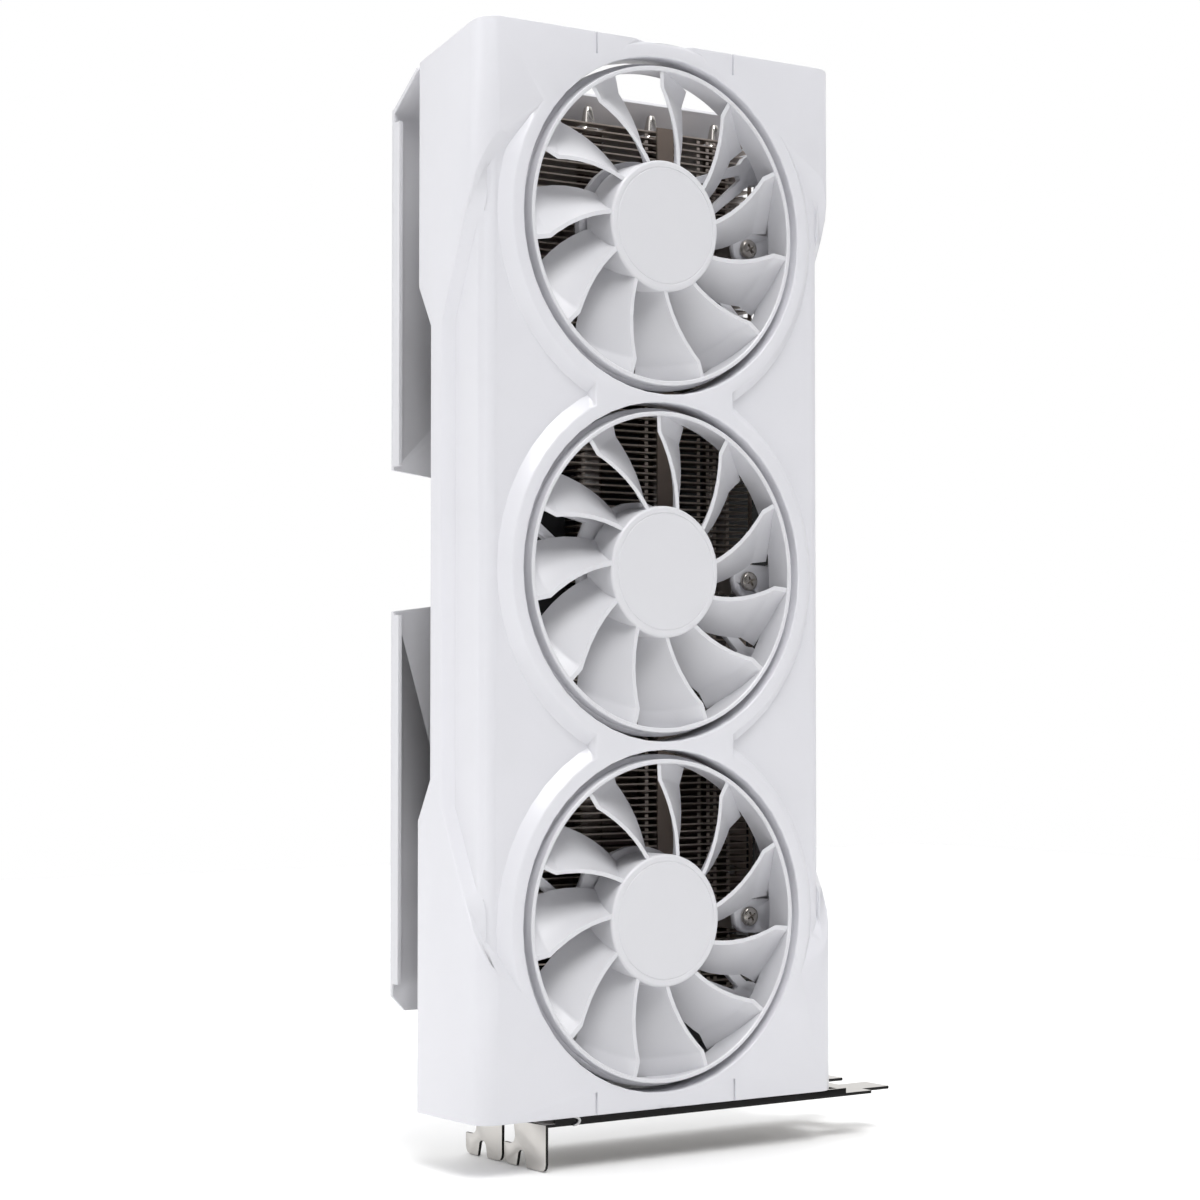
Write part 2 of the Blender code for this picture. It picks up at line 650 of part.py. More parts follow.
# ---- fans -----------------------------------------------------------------------------------------
def blade(bm, angle):
    """One twisted blade: its front edge leads, and its rear edge lies clockwise of it."""
    inner = HUB_RADIUS - HUB_WALL / 2
    outer = ROTOR_RADIUS - RING_WALL + 0.0002
    kink = inner + BLADE_KINK * (outer - inner)
    stations = ((inner, 0.0), (kink, BLADE_SWEEP), (outer, BLADE_SWEEP))
    chord_steps = 2
    rings = []
    for radius, lead in stations:
        half = BLADE_THICKNESS / 2 / radius
        front_side, rear_side = [], []
        for step in range(chord_steps + 1):
            share = step / chord_steps
            depth = BLADE_FRONT + (BLADE_REAR - BLADE_FRONT) * share
            turn = angle - BLADE_SWEEP + lead - BLADE_CHORD * (0.55 * share + 0.45 * share * share)
            for side, row in ((1, front_side), (-1, rear_side)):
                at = turn + side * half
                row.append((radius * math.cos(at), depth, radius * math.sin(at)))
        rings.append([bm.verts.new(point) for point in front_side + rear_side[::-1]])
    bm.faces.new(rings[0])
    bm.faces.new(rings[-1])
    for first, second in zip(rings, rings[1:]):
        count = len(first)
        for index in range(count):
            after = (index + 1) % count
            bm.faces.new((first[index], first[after], second[after], second[index]))


def rotor_mesh():
    """Hub cap, eleven blades and outer ring, in one moulding."""
    boss = 0.0034
    bore = SHAFT_RADIUS + GAP
    hub_profile = [
        (0.0, 0.0),
        (HUB_RADIUS - 0.001, 0.0),
        (HUB_RADIUS, 0.001),
        (HUB_RADIUS, HUB_DEPTH),
        (HUB_RADIUS - HUB_WALL, HUB_DEPTH),
        (HUB_RADIUS - HUB_WALL, 0.0016),
        (boss, 0.0016),
        (boss, 0.0036),
        (bore, 0.0036),
        (bore, 0.0016),
        (0.0, 0.0016),
    ]
    ring_profile = [
        (ROTOR_LIP_RADIUS - 0.0012, 0.0),
        (ROTOR_LIP_RADIUS, 0.0),
        (ROTOR_RADIUS, 0.003),
        (ROTOR_RADIUS, RING_DEPTH),
        (ROTOR_RADIUS - RING_WALL, RING_DEPTH),
    ]
    body = solid((add_turned, hub_profile, (0.0, 0.0, 0.0), HUB_SEGMENTS))
    pitch = FULL_TURN / BLADE_COUNT
    blades = solid(*[(blade, FIRST_BLADE + BLADE_SWEEP / 2 + index * pitch) for index in range(BLADE_COUNT)])
    combine(body, solid((add_turned, ring_profile, (0.0, 0.0, 0.0), ROTOR_SEGMENTS)), "UNION")
    combine(body, blades, "UNION")
    mesh = body.data
    mesh.name = "fan_rotor"
    mesh.materials.clear()
    bpy.data.objects.remove(body, do_unlink=True)
    return mesh


def turned_mesh(name, profile, segments):
    """A turned piece in its fan's own frame."""
    bm = bmesh.new()
    add_turned(bm, profile, (0.0, 0.0, 0.0), segments)
    return mesh_from(bm, name)


def tube_profile(inner, outer, near, far):
    """The profile of a plain tube."""
    return [(inner, near), (outer, near), (outer, far), (inner, far)]


def stator_mesh():
    """The wound core: a bored star of T-shaped poles."""
    bore = TUBE_RADIUS + GAP
    tip = MAGNET_RADIUS - MAGNET_WALL - AIR_GAP
    neck_half = math.radians(9)
    tip_half = math.radians(25)
    outline = []
    for pole in range(STATOR_POLES):
        middle = FULL_TURN * pole / STATOR_POLES
        for radius, offset in (
            (bore + 0.0022, -neck_half * 2.2),
            (tip - 0.002, -neck_half * 0.8),
            (tip, -tip_half),
            (tip, tip_half),
            (tip - 0.002, neck_half * 0.8),
            (bore + 0.0022, neck_half * 2.2),
        ):
            outline.append((radius * math.cos(middle + offset), radius * math.sin(middle + offset)))
    rear = STATOR_FRONT + STATOR_DEPTH
    body = solid((add_prism, outline, "Y", STATOR_FRONT, rear))
    near, far = STATOR_FRONT - MARGIN, rear + MARGIN
    core = [(0.0, near), (bore, near), (bore, far), (0.0, far)]
    combine(body, solid((add_turned, core, (0.0, 0.0, 0.0), SMALL_SEGMENTS)), "DIFFERENCE")
    mesh = body.data
    mesh.name = "stator"
    bpy.data.objects.remove(body, do_unlink=True)
    return mesh


def frame_mesh(angles):
    """The spider behind a rotor: disc, bearing tube and three forked arms with screw ears."""
    tube = SLEEVE_RADIUS + GAP
    disc = [(0.0, FRAME_FRONT), (FRAME_DISC_RADIUS, FRAME_FRONT)]
    disc += [(FRAME_DISC_RADIUS, FRAME_REAR), (0.0, FRAME_REAR)]
    body = solid((add_turned, disc, (0.0, 0.0, 0.0), 2 * SMALL_SEGMENTS))
    combine(body, solid(*[(arm_outline, angle) for angle in angles]), "UNION", "MANIFOLD")
    combine(body, solid(*[(arm_window, angle) for angle in angles]), "DIFFERENCE", "MANIFOLD")
    sleeve_tube = tube_profile(tube, TUBE_RADIUS, STATOR_FRONT - 0.0008, FRAME_FRONT + 0.0005)
    combine(body, solid((add_turned, sleeve_tube, (0.0, 0.0, 0.0), SMALL_SEGMENTS)), "UNION", "MANIFOLD")
    holes = []
    for angle in angles:
        x, z = EAR_RADIUS * math.cos(angle), EAR_RADIUS * math.sin(angle)
        holes.append(hole(x, z, SCREW_HOLE_RADIUS, FRAME_FRONT - MARGIN, FRAME_REAR + MARGIN))
    combine(body, solid(*holes), "DIFFERENCE", "MANIFOLD")
    mesh = body.data
    mesh.name = "fan_frame"
    mesh.materials.clear()
    bpy.data.objects.remove(body, do_unlink=True)
    return mesh


def turned_outline(points, angle):
    """An outline of (radius, across) points, turned round the fan axis."""
    cosine, sine = math.cos(angle), math.sin(angle)
    return [(u * cosine - v * sine, u * sine + v * cosine) for u, v in points]


def arm_outline(bm, angle):
    """One arm of the fan frame, wide at the disc and ending in a screw ear."""
    start = FRAME_DISC_RADIUS - 0.004
    neck = EAR_RADIUS - EAR_WIDTH / 2 - 0.002
    end = EAR_RADIUS + EAR_OVERHANG
    half = EAR_WIDTH / 2
    points = [(start, -ARM_ROOT_WIDTH / 2), (neck, -ARM_TIP_WIDTH / 2), (neck + 0.002, -half), (end, -half)]
    points += [(u, -v) for u, v in reversed(points)]
    add_prism(bm, turned_outline(points, angle), "Y", FRAME_FRONT, FRAME_REAR)


def arm_window(bm, angle):
    """The window that forks an arm into two spokes."""
    start = FRAME_DISC_RADIUS + 0.0015
    neck = EAR_RADIUS - EAR_WIDTH / 2 - 0.004
    points = [
        (start, SPOKE_WIDTH - ARM_ROOT_WIDTH / 2),
        (neck, SPOKE_WIDTH - ARM_TIP_WIDTH / 2),
        (neck, ARM_TIP_WIDTH / 2 - SPOKE_WIDTH),
        (start, ARM_ROOT_WIDTH / 2 - SPOKE_WIDTH),
    ]
    add_prism(bm, turned_outline(points, angle), "Y", FRAME_FRONT - MARGIN, FRAME_REAR + MARGIN)


def make_fans(finishes):
    """Three fans, each on an empty at the centre of its opening."""
    sleeve_front = STATOR_FRONT - 0.0006
    meshes = {
        "fan_rotor": (rotor_mesh(), "white_plastic"),
        "stator": (stator_mesh(), "copper"),
        "fan_shaft": (
            turned_mesh(
                "fan_shaft",
                [(0.0, 0.0019), (SHAFT_RADIUS, 0.0019), (SHAFT_RADIUS, 0.0127), (0.0, 0.0127)],
                SMALL_SEGMENTS,
            ),
            "steel",
        ),
        "magnet_ring": (
            turned_mesh(
                "magnet_ring",
                tube_profile(MAGNET_RADIUS - MAGNET_WALL, MAGNET_RADIUS, 0.0019, HUB_DEPTH - 0.0005),
                2 * SMALL_SEGMENTS,
            ),
            "dark_iron",
        ),
        "bearing_sleeve": (
            turned_mesh(
                "bearing_sleeve",
                tube_profile(SHAFT_RADIUS + RUNNING_GAP, SLEEVE_RADIUS, sleeve_front, FRAME_FRONT - GAP),
                SMALL_SEGMENTS,
            ),
            "brass",
        ),
    }
    for number, height in enumerate(FAN_HEIGHTS, start=1):
        axis = bpy.data.objects.new(f"fan_axis_{number}", None)
        axis.location = (0.0, FRONT, height)
        bpy.context.scene.collection.objects.link(axis)
        for name, (mesh, finish) in meshes.items():
            turn = ROTOR_TURNS[number - 1] if name == "fan_rotor" else 0.0
            link(f"{name}_{number}", mesh, finishes[finish], axis, turn)
        frame = frame_mesh(ARM_ANGLES[number - 1])
        link(f"fan_frame_{number}", frame, finishes["white_plastic"], axis)


def screw_shapes(x, z, head_near, shank_end):
    """A screw along Y whose head starts at one depth and whose shank ends at another."""
    direction = 1.0 if shank_end > head_near else -1.0
    seat = head_near + direction * SCREW_HEAD_HEIGHT
    profile = [
        (0.0, head_near),
        (SCREW_HEAD_RADIUS, head_near),
        (SCREW_HEAD_RADIUS, seat),
        (SCREW_RADIUS, seat),
        (SCREW_RADIUS, shank_end),
        (0.0, shank_end),
    ]
    return (add_turned, profile, (x, 0.0, z), HOLE_SEGMENTS)


def make_screws(finish):
    """Every screw of the card, one piece each."""
    fan_head = FRONT + FRAME_REAR + GAP + SCREW_HEAD_HEIGHT
    fan_end = FRONT + FRAME_FRONT - 0.0045
    for index, (x, z) in enumerate(frame_screw_places()):
        fan, arm = divmod(index, FRAME_SCREWS)
        finished(f"fan_screw_{fan + 1}_{arm + 1}", solid(screw_shapes(x, z, fan_head, fan_end)), finish)
    tab_head = FRONT + TAB_FRONT - GAP - SCREW_HEAD_HEIGHT
    for index, (x, z) in enumerate(tab_screw_places(), start=1):
        shape = screw_shapes(x, z, tab_head, FRONT + TAB_REAR + 0.004)
        finished(f"shroud_screw_{index}", solid(shape), finish)
    spring_head = RETENTION_FRONT + RETENTION_THICKNESS + GAP + SCREW_HEAD_HEIGHT
    for index, (x, z) in enumerate(CHIP_SCREWS, start=1):
        shape = screw_shapes(x, z, spring_head, BASE_FRONT + 0.0004)
        finished(f"spring_screw_{index}", solid(shape), finish)
    plate_head = PLATE_FACE + GAP + SCREW_HEAD_HEIGHT
    for index, (x, z) in enumerate(PLATE_SCREWS, start=1):
        finished(f"backplate_screw_{index}", solid(screw_shapes(x, z, plate_head, -0.002)), finish)
    for index, (x, z) in enumerate(bracket_screw_places(), start=1):
        head = -GAP - BRACKET_THICKNESS - GAP - SCREW_HEAD_HEIGHT
        finished(f"bracket_screw_{index}", solid(screw_shapes(x, z, head, BOARD_THICKNESS - 0.0002)), finish)


# ---- fan leads ------------------------------------------------------------------------------------
def smooth_route(points, steps):
    """Points along one smooth curve through the given ones, with this many steps to each span."""
    places = [Vector(point) for point in points]
    last = len(places) - 1
    lengths = [(end - start).length for start, end in zip(places, places[1:])]
    tangents = []
    for index in range(last + 1):
        reach = places[min(index + 1, last)] - places[max(index - 1, 0)]
        shortest = min(lengths[max(index - 1, 0)], lengths[min(index, last - 1)])
        tangents.append(reach.normalized() * shortest * LEAD_EASE)
    route = [places[0]]
    for span in range(last):
        for step in range(1, steps + 1):
            share = step / steps
            squared, cubed = share * share, share**3
            route.append(
                places[span] * (2 * cubed - 3 * squared + 1)
                + tangents[span] * (cubed - 2 * squared + share)
                + places[span + 1] * (3 * squared - 2 * cubed)
                + tangents[span + 1] * (cubed - squared)
            )
    return route


def lead_route(number, height):
    """One lead's way: along its arm, down the cooler's side, behind the fins and into the header."""
    rear = FRONT + FRAME_REAR + 2 * GAP + LEAD_RADIUS
    arm = ARM_ANGLES[number][LEAD_ARMS[number]]
    away = Vector((math.cos(arm), 0.0, math.sin(arm)))
    beside = Vector((-math.sin(arm), 0.0, math.cos(arm))) * LEAD_OFFSET * LEAD_SIDES[number]
    centre = Vector((0.0, rear, height))
    lane = LEAD_LANES[number]
    plug = HEADER_Z + LEAD_PLUGS[number] * HEADER_LENGTH / 3
    points = [centre + away * 0.012 + beside, centre + away * 0.028 + beside]
    points.append(centre + away * 0.040 + beside * 1.4)
    start = points[-1].z
    if start > LEAD_RETURN:
        for level in (start - 0.012, (start + LEAD_RETURN) / 2):
            points.append(Vector((lane, -LEAD_PASS, level)))
        start = LEAD_RETURN
    fall = plug - start
    points.append(Vector((lane, -LEAD_PASS, start + 0.22 * fall)))
    points.append(Vector((lane, LEAD_DEPTH, start + 0.55 * fall)))
    points.append(Vector((lane, LEAD_DEPTH, plug - math.copysign(0.0035, fall))))
    points.append(Vector((HEADER_LEFT - GAP - 0.006, LEAD_DEPTH, plug)))
    points.append(Vector((HEADER_LEFT - GAP, LEAD_DEPTH, plug)))
    return points


def make_leads(finish):
    """The fans' leads, each a round cord on its own lane to the header."""
    for number, height in enumerate(FAN_HEIGHTS):
        name = f"fan_lead_{number + 1}"
        curve = bpy.data.curves.new(name, "CURVE")
        curve.dimensions = "3D"
        curve.bevel_depth = LEAD_RADIUS
        curve.bevel_resolution = 1
        curve.use_fill_caps = True
        spline = curve.splines.new("POLY")
        route = smooth_route(lead_route(number, height), LEAD_STEPS)
        spline.points.add(len(route) - 1)
        for point, place in zip(spline.points, route):
            point.co = (*place, 1.0)
        curve.materials.append(finish)
        lead = bpy.data.objects.new(name, curve)
        bpy.context.scene.collection.objects.link(lead)


# ---- cooler ---------------------------------------------------------------------------------------
def fin_outline():
    """One fin seen along the card, with a channel for each heat pipe."""
    outline = [(FIN_LEFT, FIN_REAR), (FIN_LEFT, FIN_FRONT), (FIN_RIGHT, FIN_FRONT), (FIN_RIGHT, FIN_REAR)]
    for centre in reversed(PIPE_CENTRES):
        half = PIPE_WIDTH / 2 + GAP
        top = FIN_REAR - PIPE_HEIGHT - GAP
        outline += [(centre + half, FIN_REAR), (centre + half, top)]
        outline += [(centre - half, top), (centre - half, FIN_REAR)]
    return outline


def make_fin_stack(finish):
    """The fins, joined by a plain strip on their front edges, and cut out at the power connectors."""
    step = (FIN_END - FIN_START - FIN_THICKNESS) / (FIN_COUNT - 1)
    fins = [
        (add_prism, fin_outline(), "Z", FIN_START + index * step, FIN_START + index * step + FIN_THICKNESS)
        for index in range(FIN_COUNT)
    ]
    body = solid(*fins)
    half = SPINE_WIDTH / 2
    strip = solid(
        (
            add_box,
            (SPINE_CENTRE - half, FIN_FRONT - 0.0008, FIN_START - 0.0005),
            (SPINE_CENTRE + half, FIN_FRONT + 0.0008, FIN_END + 0.0005),
        ),
        (
            add_box,
            (FIN_RIGHT - 0.0016, FIN_FRONT + 0.003, FIN_START - 0.0005),
            (FIN_RIGHT - 0.0004, FIN_FRONT + 0.0045, FIN_END + 0.0005),
        ),
    )
    combine(body, strip, "UNION")
    combine(body, cooler_posts(), "UNION")
    holes = [
        hole(x, z, SCREW_HOLE_RADIUS, FRONT + TAB_REAR - MARGIN, FRONT + TAB_REAR + 6 * MARGIN)
        for x, z in tab_screw_places()
    ]
    combine(body, solid(*holes), "DIFFERENCE")
    reach = (POWER_COUNT * POWER_PITCH) / 2 + 0.002
    low = (FIN_LEFT - MARGIN, FIN_FRONT - 2 * MARGIN, POWER_Z - reach)
    high = (BOARD_SIDE + POWER_LENGTH + MARGIN, 0.0, POWER_Z + reach)
    combine(body, solid((add_box, low, high)), "DIFFERENCE")
    return finished("fin_stack", body, finish)


def cooler_posts():
    """Posts on the fins that the shroud's tabs are screwed to, each on a foot over two fins."""
    step = (FIN_END - FIN_START - FIN_THICKNESS) / (FIN_COUNT - 1)
    half = POST_SIDE / 2
    shapes = []
    for x, z in tab_screw_places():
        front = FRONT + TAB_REAR + GAP
        shapes.append((add_box, (x - half, front, z - step), (x + half, FIN_FRONT + 0.001, z + step)))
    return solid(*shapes)


def pipe_outline(centre):
    """A flattened heat pipe's cross-section."""
    radius = PIPE_HEIGHT / 2
    middle = FIN_REAR - radius
    reach = PIPE_WIDTH / 2 - radius
    return arc((centre + reach, middle), radius, -math.pi / 2, math.pi / 2, 4) + arc(
        (centre - reach, middle), radius, math.pi / 2, 1.5 * math.pi, 4
    )


def make_heat_pipes(finish):
    """Three pipes along the fin stack, each with a drawn-out tip past the last fin."""
    for number, centre in enumerate(PIPE_CENTRES, start=1):
        outline = pipe_outline(centre)
        middle = FIN_REAR - PIPE_HEIGHT / 2
        bm = bmesh.new()
        rows = []
        top = FIN_END + 0.0012
        stations = [(FIN_START - MARGIN, 1.0), (top, 1.0)]
        stations += [(top + PIPE_TIP * 0.7, 0.45), (top + PIPE_TIP, 0.25)]
        for height, share in stations:
            row = [(centre + (x - centre) * share, middle + (y - middle) * share) for x, y in outline]
            rows.append([bm.verts.new((x, y, height)) for x, y in row])
        bm.faces.new(rows[0])
        bm.faces.new(rows[-1])
        for first, second in zip(rows, rows[1:]):
            for index in range(len(outline)):
                after = (index + 1) % len(outline)
                bm.faces.new((first[index], first[after], second[after], second[index]))
        link(f"heat_pipe_{number}", mesh_from(bm, f"heat_pipe_{number}"), finish)


def make_chip_stack(finishes):
    """Graphics chip, the cooler's base over it and the cross-shaped retainer behind the board."""
    half = PACKAGE_SIDE / 2
    die = DIE_SIDE / 2
    substrate = -GAP - 0.0011
    low = (CHIP_X - half, substrate, CHIP_Z - half)
    package = solid((add_box, low, (CHIP_X + half, -GAP, CHIP_Z + half)))
    low = (CHIP_X - die, -GAP - PACKAGE_HEIGHT, CHIP_Z - die)
    high = (CHIP_X + die, substrate + GAP, CHIP_Z + die)
    combine(package, solid((add_box, low, high)), "UNION")
    finished("graphics_chip", package, finishes["green"])
    side = BASE_SIDE / 2
    base = solid(
        (add_box, (CHIP_X - side, BASE_FRONT, CHIP_Z - side), (CHIP_X + side, BASE_REAR, CHIP_Z + side))
    )
    holes = [hole(x, z, SCREW_HOLE_RADIUS, BASE_FRONT - MARGIN, BASE_REAR + MARGIN) for x, z in CHIP_SCREWS]
    combine(base, solid(*holes), "DIFFERENCE")
    finished("cooler_base", base, finishes["copper"])
    reach = CHIP_SCREW_PITCH / 2 + 0.004
    rear = RETENTION_FRONT + RETENTION_THICKNESS
    diagonal = math.sqrt(0.5)
    arms = []
    for sign in (-1, 1):
        width = 0.0045 * diagonal
        points = [
            (CHIP_X + reach, CHIP_Z + sign * reach - sign * 2 * width),
            (CHIP_X + reach, CHIP_Z + sign * reach),
            (CHIP_X + reach - 2 * width, CHIP_Z + sign * reach),
            (CHIP_X - reach, CHIP_Z - sign * reach + sign * 2 * width),
            (CHIP_X - reach, CHIP_Z - sign * reach),
            (CHIP_X - reach + 2 * width, CHIP_Z - sign * reach),
        ]
        arms.append(solid((add_prism, points, "Y", RETENTION_FRONT, rear)))
    combine(arms[0], arms[1], "UNION")
    holes = [hole(x, z, SCREW_HOLE_RADIUS, RETENTION_FRONT - MARGIN, rear + MARGIN) for x, z in CHIP_SCREWS]
    combine(arms[0], solid(*holes), "DIFFERENCE")
    finished("chip_retainer", arms[0], finishes["dark_iron"])


# ---- board ----------------------------------------------------------------------------------------
def make_board(finish):
    """The circuit board with its keyed contact edge and its screw holes."""
    end = BOARD_START + BOARD_LENGTH
    shoulder = CONTACT_EDGE - CONTACT_HEIGHT
    first = CONTACT_START
    key = first + CONTACT_SHORT
    second = key + KEY_WIDTH
    last = second + CONTACT_LONG
    outline = [(BOARD_SIDE, BOARD_START), (shoulder, BOARD_START), (shoulder, first), (CONTACT_EDGE, first)]
    outline += [(CONTACT_EDGE, key), (shoulder, key), (shoulder, second), (CONTACT_EDGE, second)]
    outline += [(CONTACT_EDGE, last), (shoulder, last), (shoulder, end), (BOARD_SIDE, end)]
    board = solid((add_prism, outline, "Y", 0.0, BOARD_THICKNESS))
    places = CHIP_SCREWS + list(PLATE_SCREWS) + bracket_screw_places()
    holes = [hole(x, z, SCREW_HOLE_RADIUS, -MARGIN, BOARD_THICKNESS + MARGIN) for x, z in places]
    combine(board, solid(*holes), "DIFFERENCE")
    return finished("circuit_board", board, finish)


def make_power_connectors(finish):
    """Right-angled connectors on the board's side edge, each with a 2 by 4 block of sockets."""
    for number in range(1, POWER_COUNT + 1):
        middle = POWER_Z + (number - (POWER_COUNT + 1) / 2) * POWER_PITCH
        left = BOARD_SIDE - 0.0008
        low = (left, -GAP - POWER_HEIGHT, middle - POWER_WIDTH / 2)
        high = (left + POWER_LENGTH, -GAP, middle + POWER_WIDTH / 2)
        body = solid((add_box, low, high))
        deep, tall = POWER_MOUTH_WALL
        near = (left - MARGIN, low[1] + deep, low[2] + tall)
        far = (left + POWER_MOUTH, high[1] - deep, high[2] - tall)
        combine(body, solid((add_box, near, far)), "DIFFERENCE")
        finished(f"power_connector_{number}", body, finish)


def make_header(finish):
    """The header on the board that takes the three fan leads."""
    low = (HEADER_LEFT, -GAP - HEADER_HEIGHT, HEADER_Z - HEADER_LENGTH / 2)
    high = (HEADER_LEFT + HEADER_DEPTH, -GAP, HEADER_Z + HEADER_LENGTH / 2)
    finished("fan_header", solid((add_box, low, high)), finish)


def make_chokes(finish):
    """A row of power inductors on one footprint strip, right of the fins."""
    low_x = CHIP_X + BASE_SIDE / 2 + 0.0015
    high_x = low_x + CHOKE_WIDTH
    start = CHIP_Z - 0.032
    shapes = []
    for index in range(CHOKE_COUNT):
        low = start + index * CHOKE_PITCH
        shapes.append((add_box, (low_x, -GAP - CHOKE_HEIGHT, low), (high_x, -GAP - 0.0004, low + CHOKE_SIDE)))
    row = solid(*shapes)
    end = start + (CHOKE_COUNT - 1) * CHOKE_PITCH + CHOKE_SIDE
    strip = (add_box, (low_x + MARGIN, -GAP - MARGIN, start - MARGIN), (high_x - MARGIN, -GAP, end))
    combine(row, solid(strip), "UNION")
    finished("choke_row", row, finish)


# ---- bracket and display connectors ---------------------------------------------------------------
def bracket_screw_places():
    """Screws through the bracket's two tabs into the board."""
    return [(BOARD_SIDE + 0.0075, 0.0065), (CONTACT_EDGE - CONTACT_HEIGHT - 0.0045, 0.0065)]


def connector_centres():
    """Middles of the display connectors; the origin lies between two of them."""
    return [(index - 0.5) * CONNECTOR_PITCH for index in range(CONNECTOR_COUNT)]


def flange_section(front, rear):
    """One slot's part of the screw flange: a rounded plate with an open screw slot and a round notch."""
    bottom = -FLANGE_HEIGHT
    slot = rear - SLOT_FROM_REAR
    top = bottom + SLOT_HEIGHT
    corner, radius, chamfer = FLANGE_CORNER, EDGE_NOTCH_RADIUS, 0.0006
    notch = rear - EDGE_NOTCH_DEPTH
    outline = [(front, BRACKET_THICKNESS / 2), (front, bottom + corner)]
    outline += arc((front + corner, bottom + corner), corner, math.pi, 1.5 * math.pi, 3)
    outline += [(slot - SLOT_MOUTH_HALF, bottom), (slot - SLOT_HALF, top - chamfer)]
    outline += [(slot - SLOT_HALF + chamfer, top), (slot + SLOT_HALF - chamfer, top)]
    outline += [(slot + SLOT_HALF, top - chamfer), (slot + SLOT_MOUTH_HALF, bottom)]
    outline += arc((rear - corner, bottom + corner), corner, 1.5 * math.pi, 2 * math.pi, 3)
    outline += [(rear, -EDGE_NOTCH_HEIGHT - radius)]
    outline += arc((notch + radius, -EDGE_NOTCH_HEIGHT), radius, 1.5 * math.pi, 0.9 * math.pi, 5)
    outline += [(notch + 0.0004, radius - EDGE_NOTCH_HEIGHT), (notch + 0.0008, BRACKET_THICKNESS / 2)]
    return outline


def make_bracket(finish):
    """The slot bracket: plate, screw flange, lip, tongues, connector windows, vents and two tabs."""
    thick = BRACKET_THICKNESS
    plate = solid((add_box, (FLANGE_OUTER, BRACKET_FRONT, 0.0), (BRACKET_END, BRACKET_REAR, thick)))
    split = BRACKET_FRONT + SLOT_PITCH
    for front, rear in ((BRACKET_FRONT, split - 0.0005), (split + 0.0005, BRACKET_REAR)):
        flange = (add_prism, flange_section(front, rear), "X", FLANGE_OUTER, FLANGE_FACE)
        combine(plate, solid(flange), "UNION")
    lip_low = (FLANGE_OUTER + 0.003, BRACKET_FRONT, thick / 2)
    lip_high = (BRACKET_END - LIP_SETBACK, BRACKET_FRONT + thick, LIP_HEIGHT)
    combine(plate, solid((add_box, lip_low, lip_high)), "UNION")
    for slot in range(2):
        front = BRACKET_FRONT + TONGUE_INSET + slot * SLOT_PITCH
        low = (BRACKET_END - 0.001, front, 0.0)
        high = (BRACKET_END + TONGUE_LENGTH, front + TONGUE_WIDTH, thick)
        combine(plate, solid((add_box, low, high)), "UNION")
    for x, _ in bracket_screw_places():
        riser = (add_box, (x - 0.0035, -GAP - thick, thick / 2), (x + 0.0035, -GAP, 0.010))
        combine(plate, solid(riser), "UNION")
    windows = []
    for middle in connector_centres():
        reach = CONNECTOR_WIDTH / 2 + GAP
        low = (middle - reach, -CONNECTOR_LIFT - CONNECTOR_HEIGHT - GAP, -MARGIN)
        windows.append((add_box, low, (middle + reach, -CONNECTOR_LIFT + GAP, thick + MARGIN)))
    for index in range(VENT_COUNT):
        x = FLANGE_OUTER + VENT_START + index * VENT_PITCH
        low = (x, BRACKET_FRONT + VENT_FRONT, -MARGIN)
        windows.append((add_box, low, (x + VENT_LENGTH, BRACKET_FRONT + VENT_REAR, thick + MARGIN)))
    combine(plate, solid(*windows), "DIFFERENCE")
    holes = [hole(x, z, SCREW_HOLE_RADIUS, -3 * MARGIN, MARGIN) for x, z in bracket_screw_places()]
    combine(plate, solid(*holes), "DIFFERENCE")
    return finished("slot_bracket", plate, finish)


def make_display_connectors(finish):
    """Display connectors, whose shells pass through the bracket's windows."""
    for number, middle in enumerate(connector_centres(), start=1):
        reach = CONNECTOR_WIDTH / 2
        low = (middle - reach, -CONNECTOR_LIFT - CONNECTOR_HEIGHT, -0.0004)
        high = (middle + reach, -CONNECTOR_LIFT, CONNECTOR_LENGTH)
        body = solid((add_box, low, high))
        inner = reach - MARGIN
        foot_low = (middle - inner, -CONNECTOR_LIFT - MARGIN, 4 * MARGIN)
        foot_high = (middle + inner, -GAP, CONNECTOR_LENGTH - 2 * MARGIN)
        combine(body, solid((add_box, foot_low, foot_high)), "UNION")
        mouth_low = (low[0] + SHELL_WALL, low[1] + SHELL_WALL, -2 * MARGIN)
        mouth_high = (high[0] - SHELL_WALL, high[1] - SHELL_WALL, SHELL_BORE)
        combine(body, solid((add_box, mouth_low, mouth_high)), "DIFFERENCE")
        finished(f"display_connector_{number}", body, finish)


# ---- backplate ------------------------------------------------------------------------------------
def plate_outline():
    """The backplate's flat, with the trapezoid notch behind the power connectors."""
    left = -HALF_WIDTH
    inner = left + NOTCH_DEPTH
    return [
        (left, PLATE_START),
        (left + 0.004, PLATE_START - 0.004),
        (PLATE_RIGHT, PLATE_START - 0.004),
        (PLATE_RIGHT, PLATE_BEND),
        (left, PLATE_BEND),
        (left, NOTCH_HIGH),
        (inner, NOTCH_HIGH - NOTCH_TAPER),
        (inner, NOTCH_LOW + NOTCH_TAPER),
        (left, NOTCH_LOW),
    ]


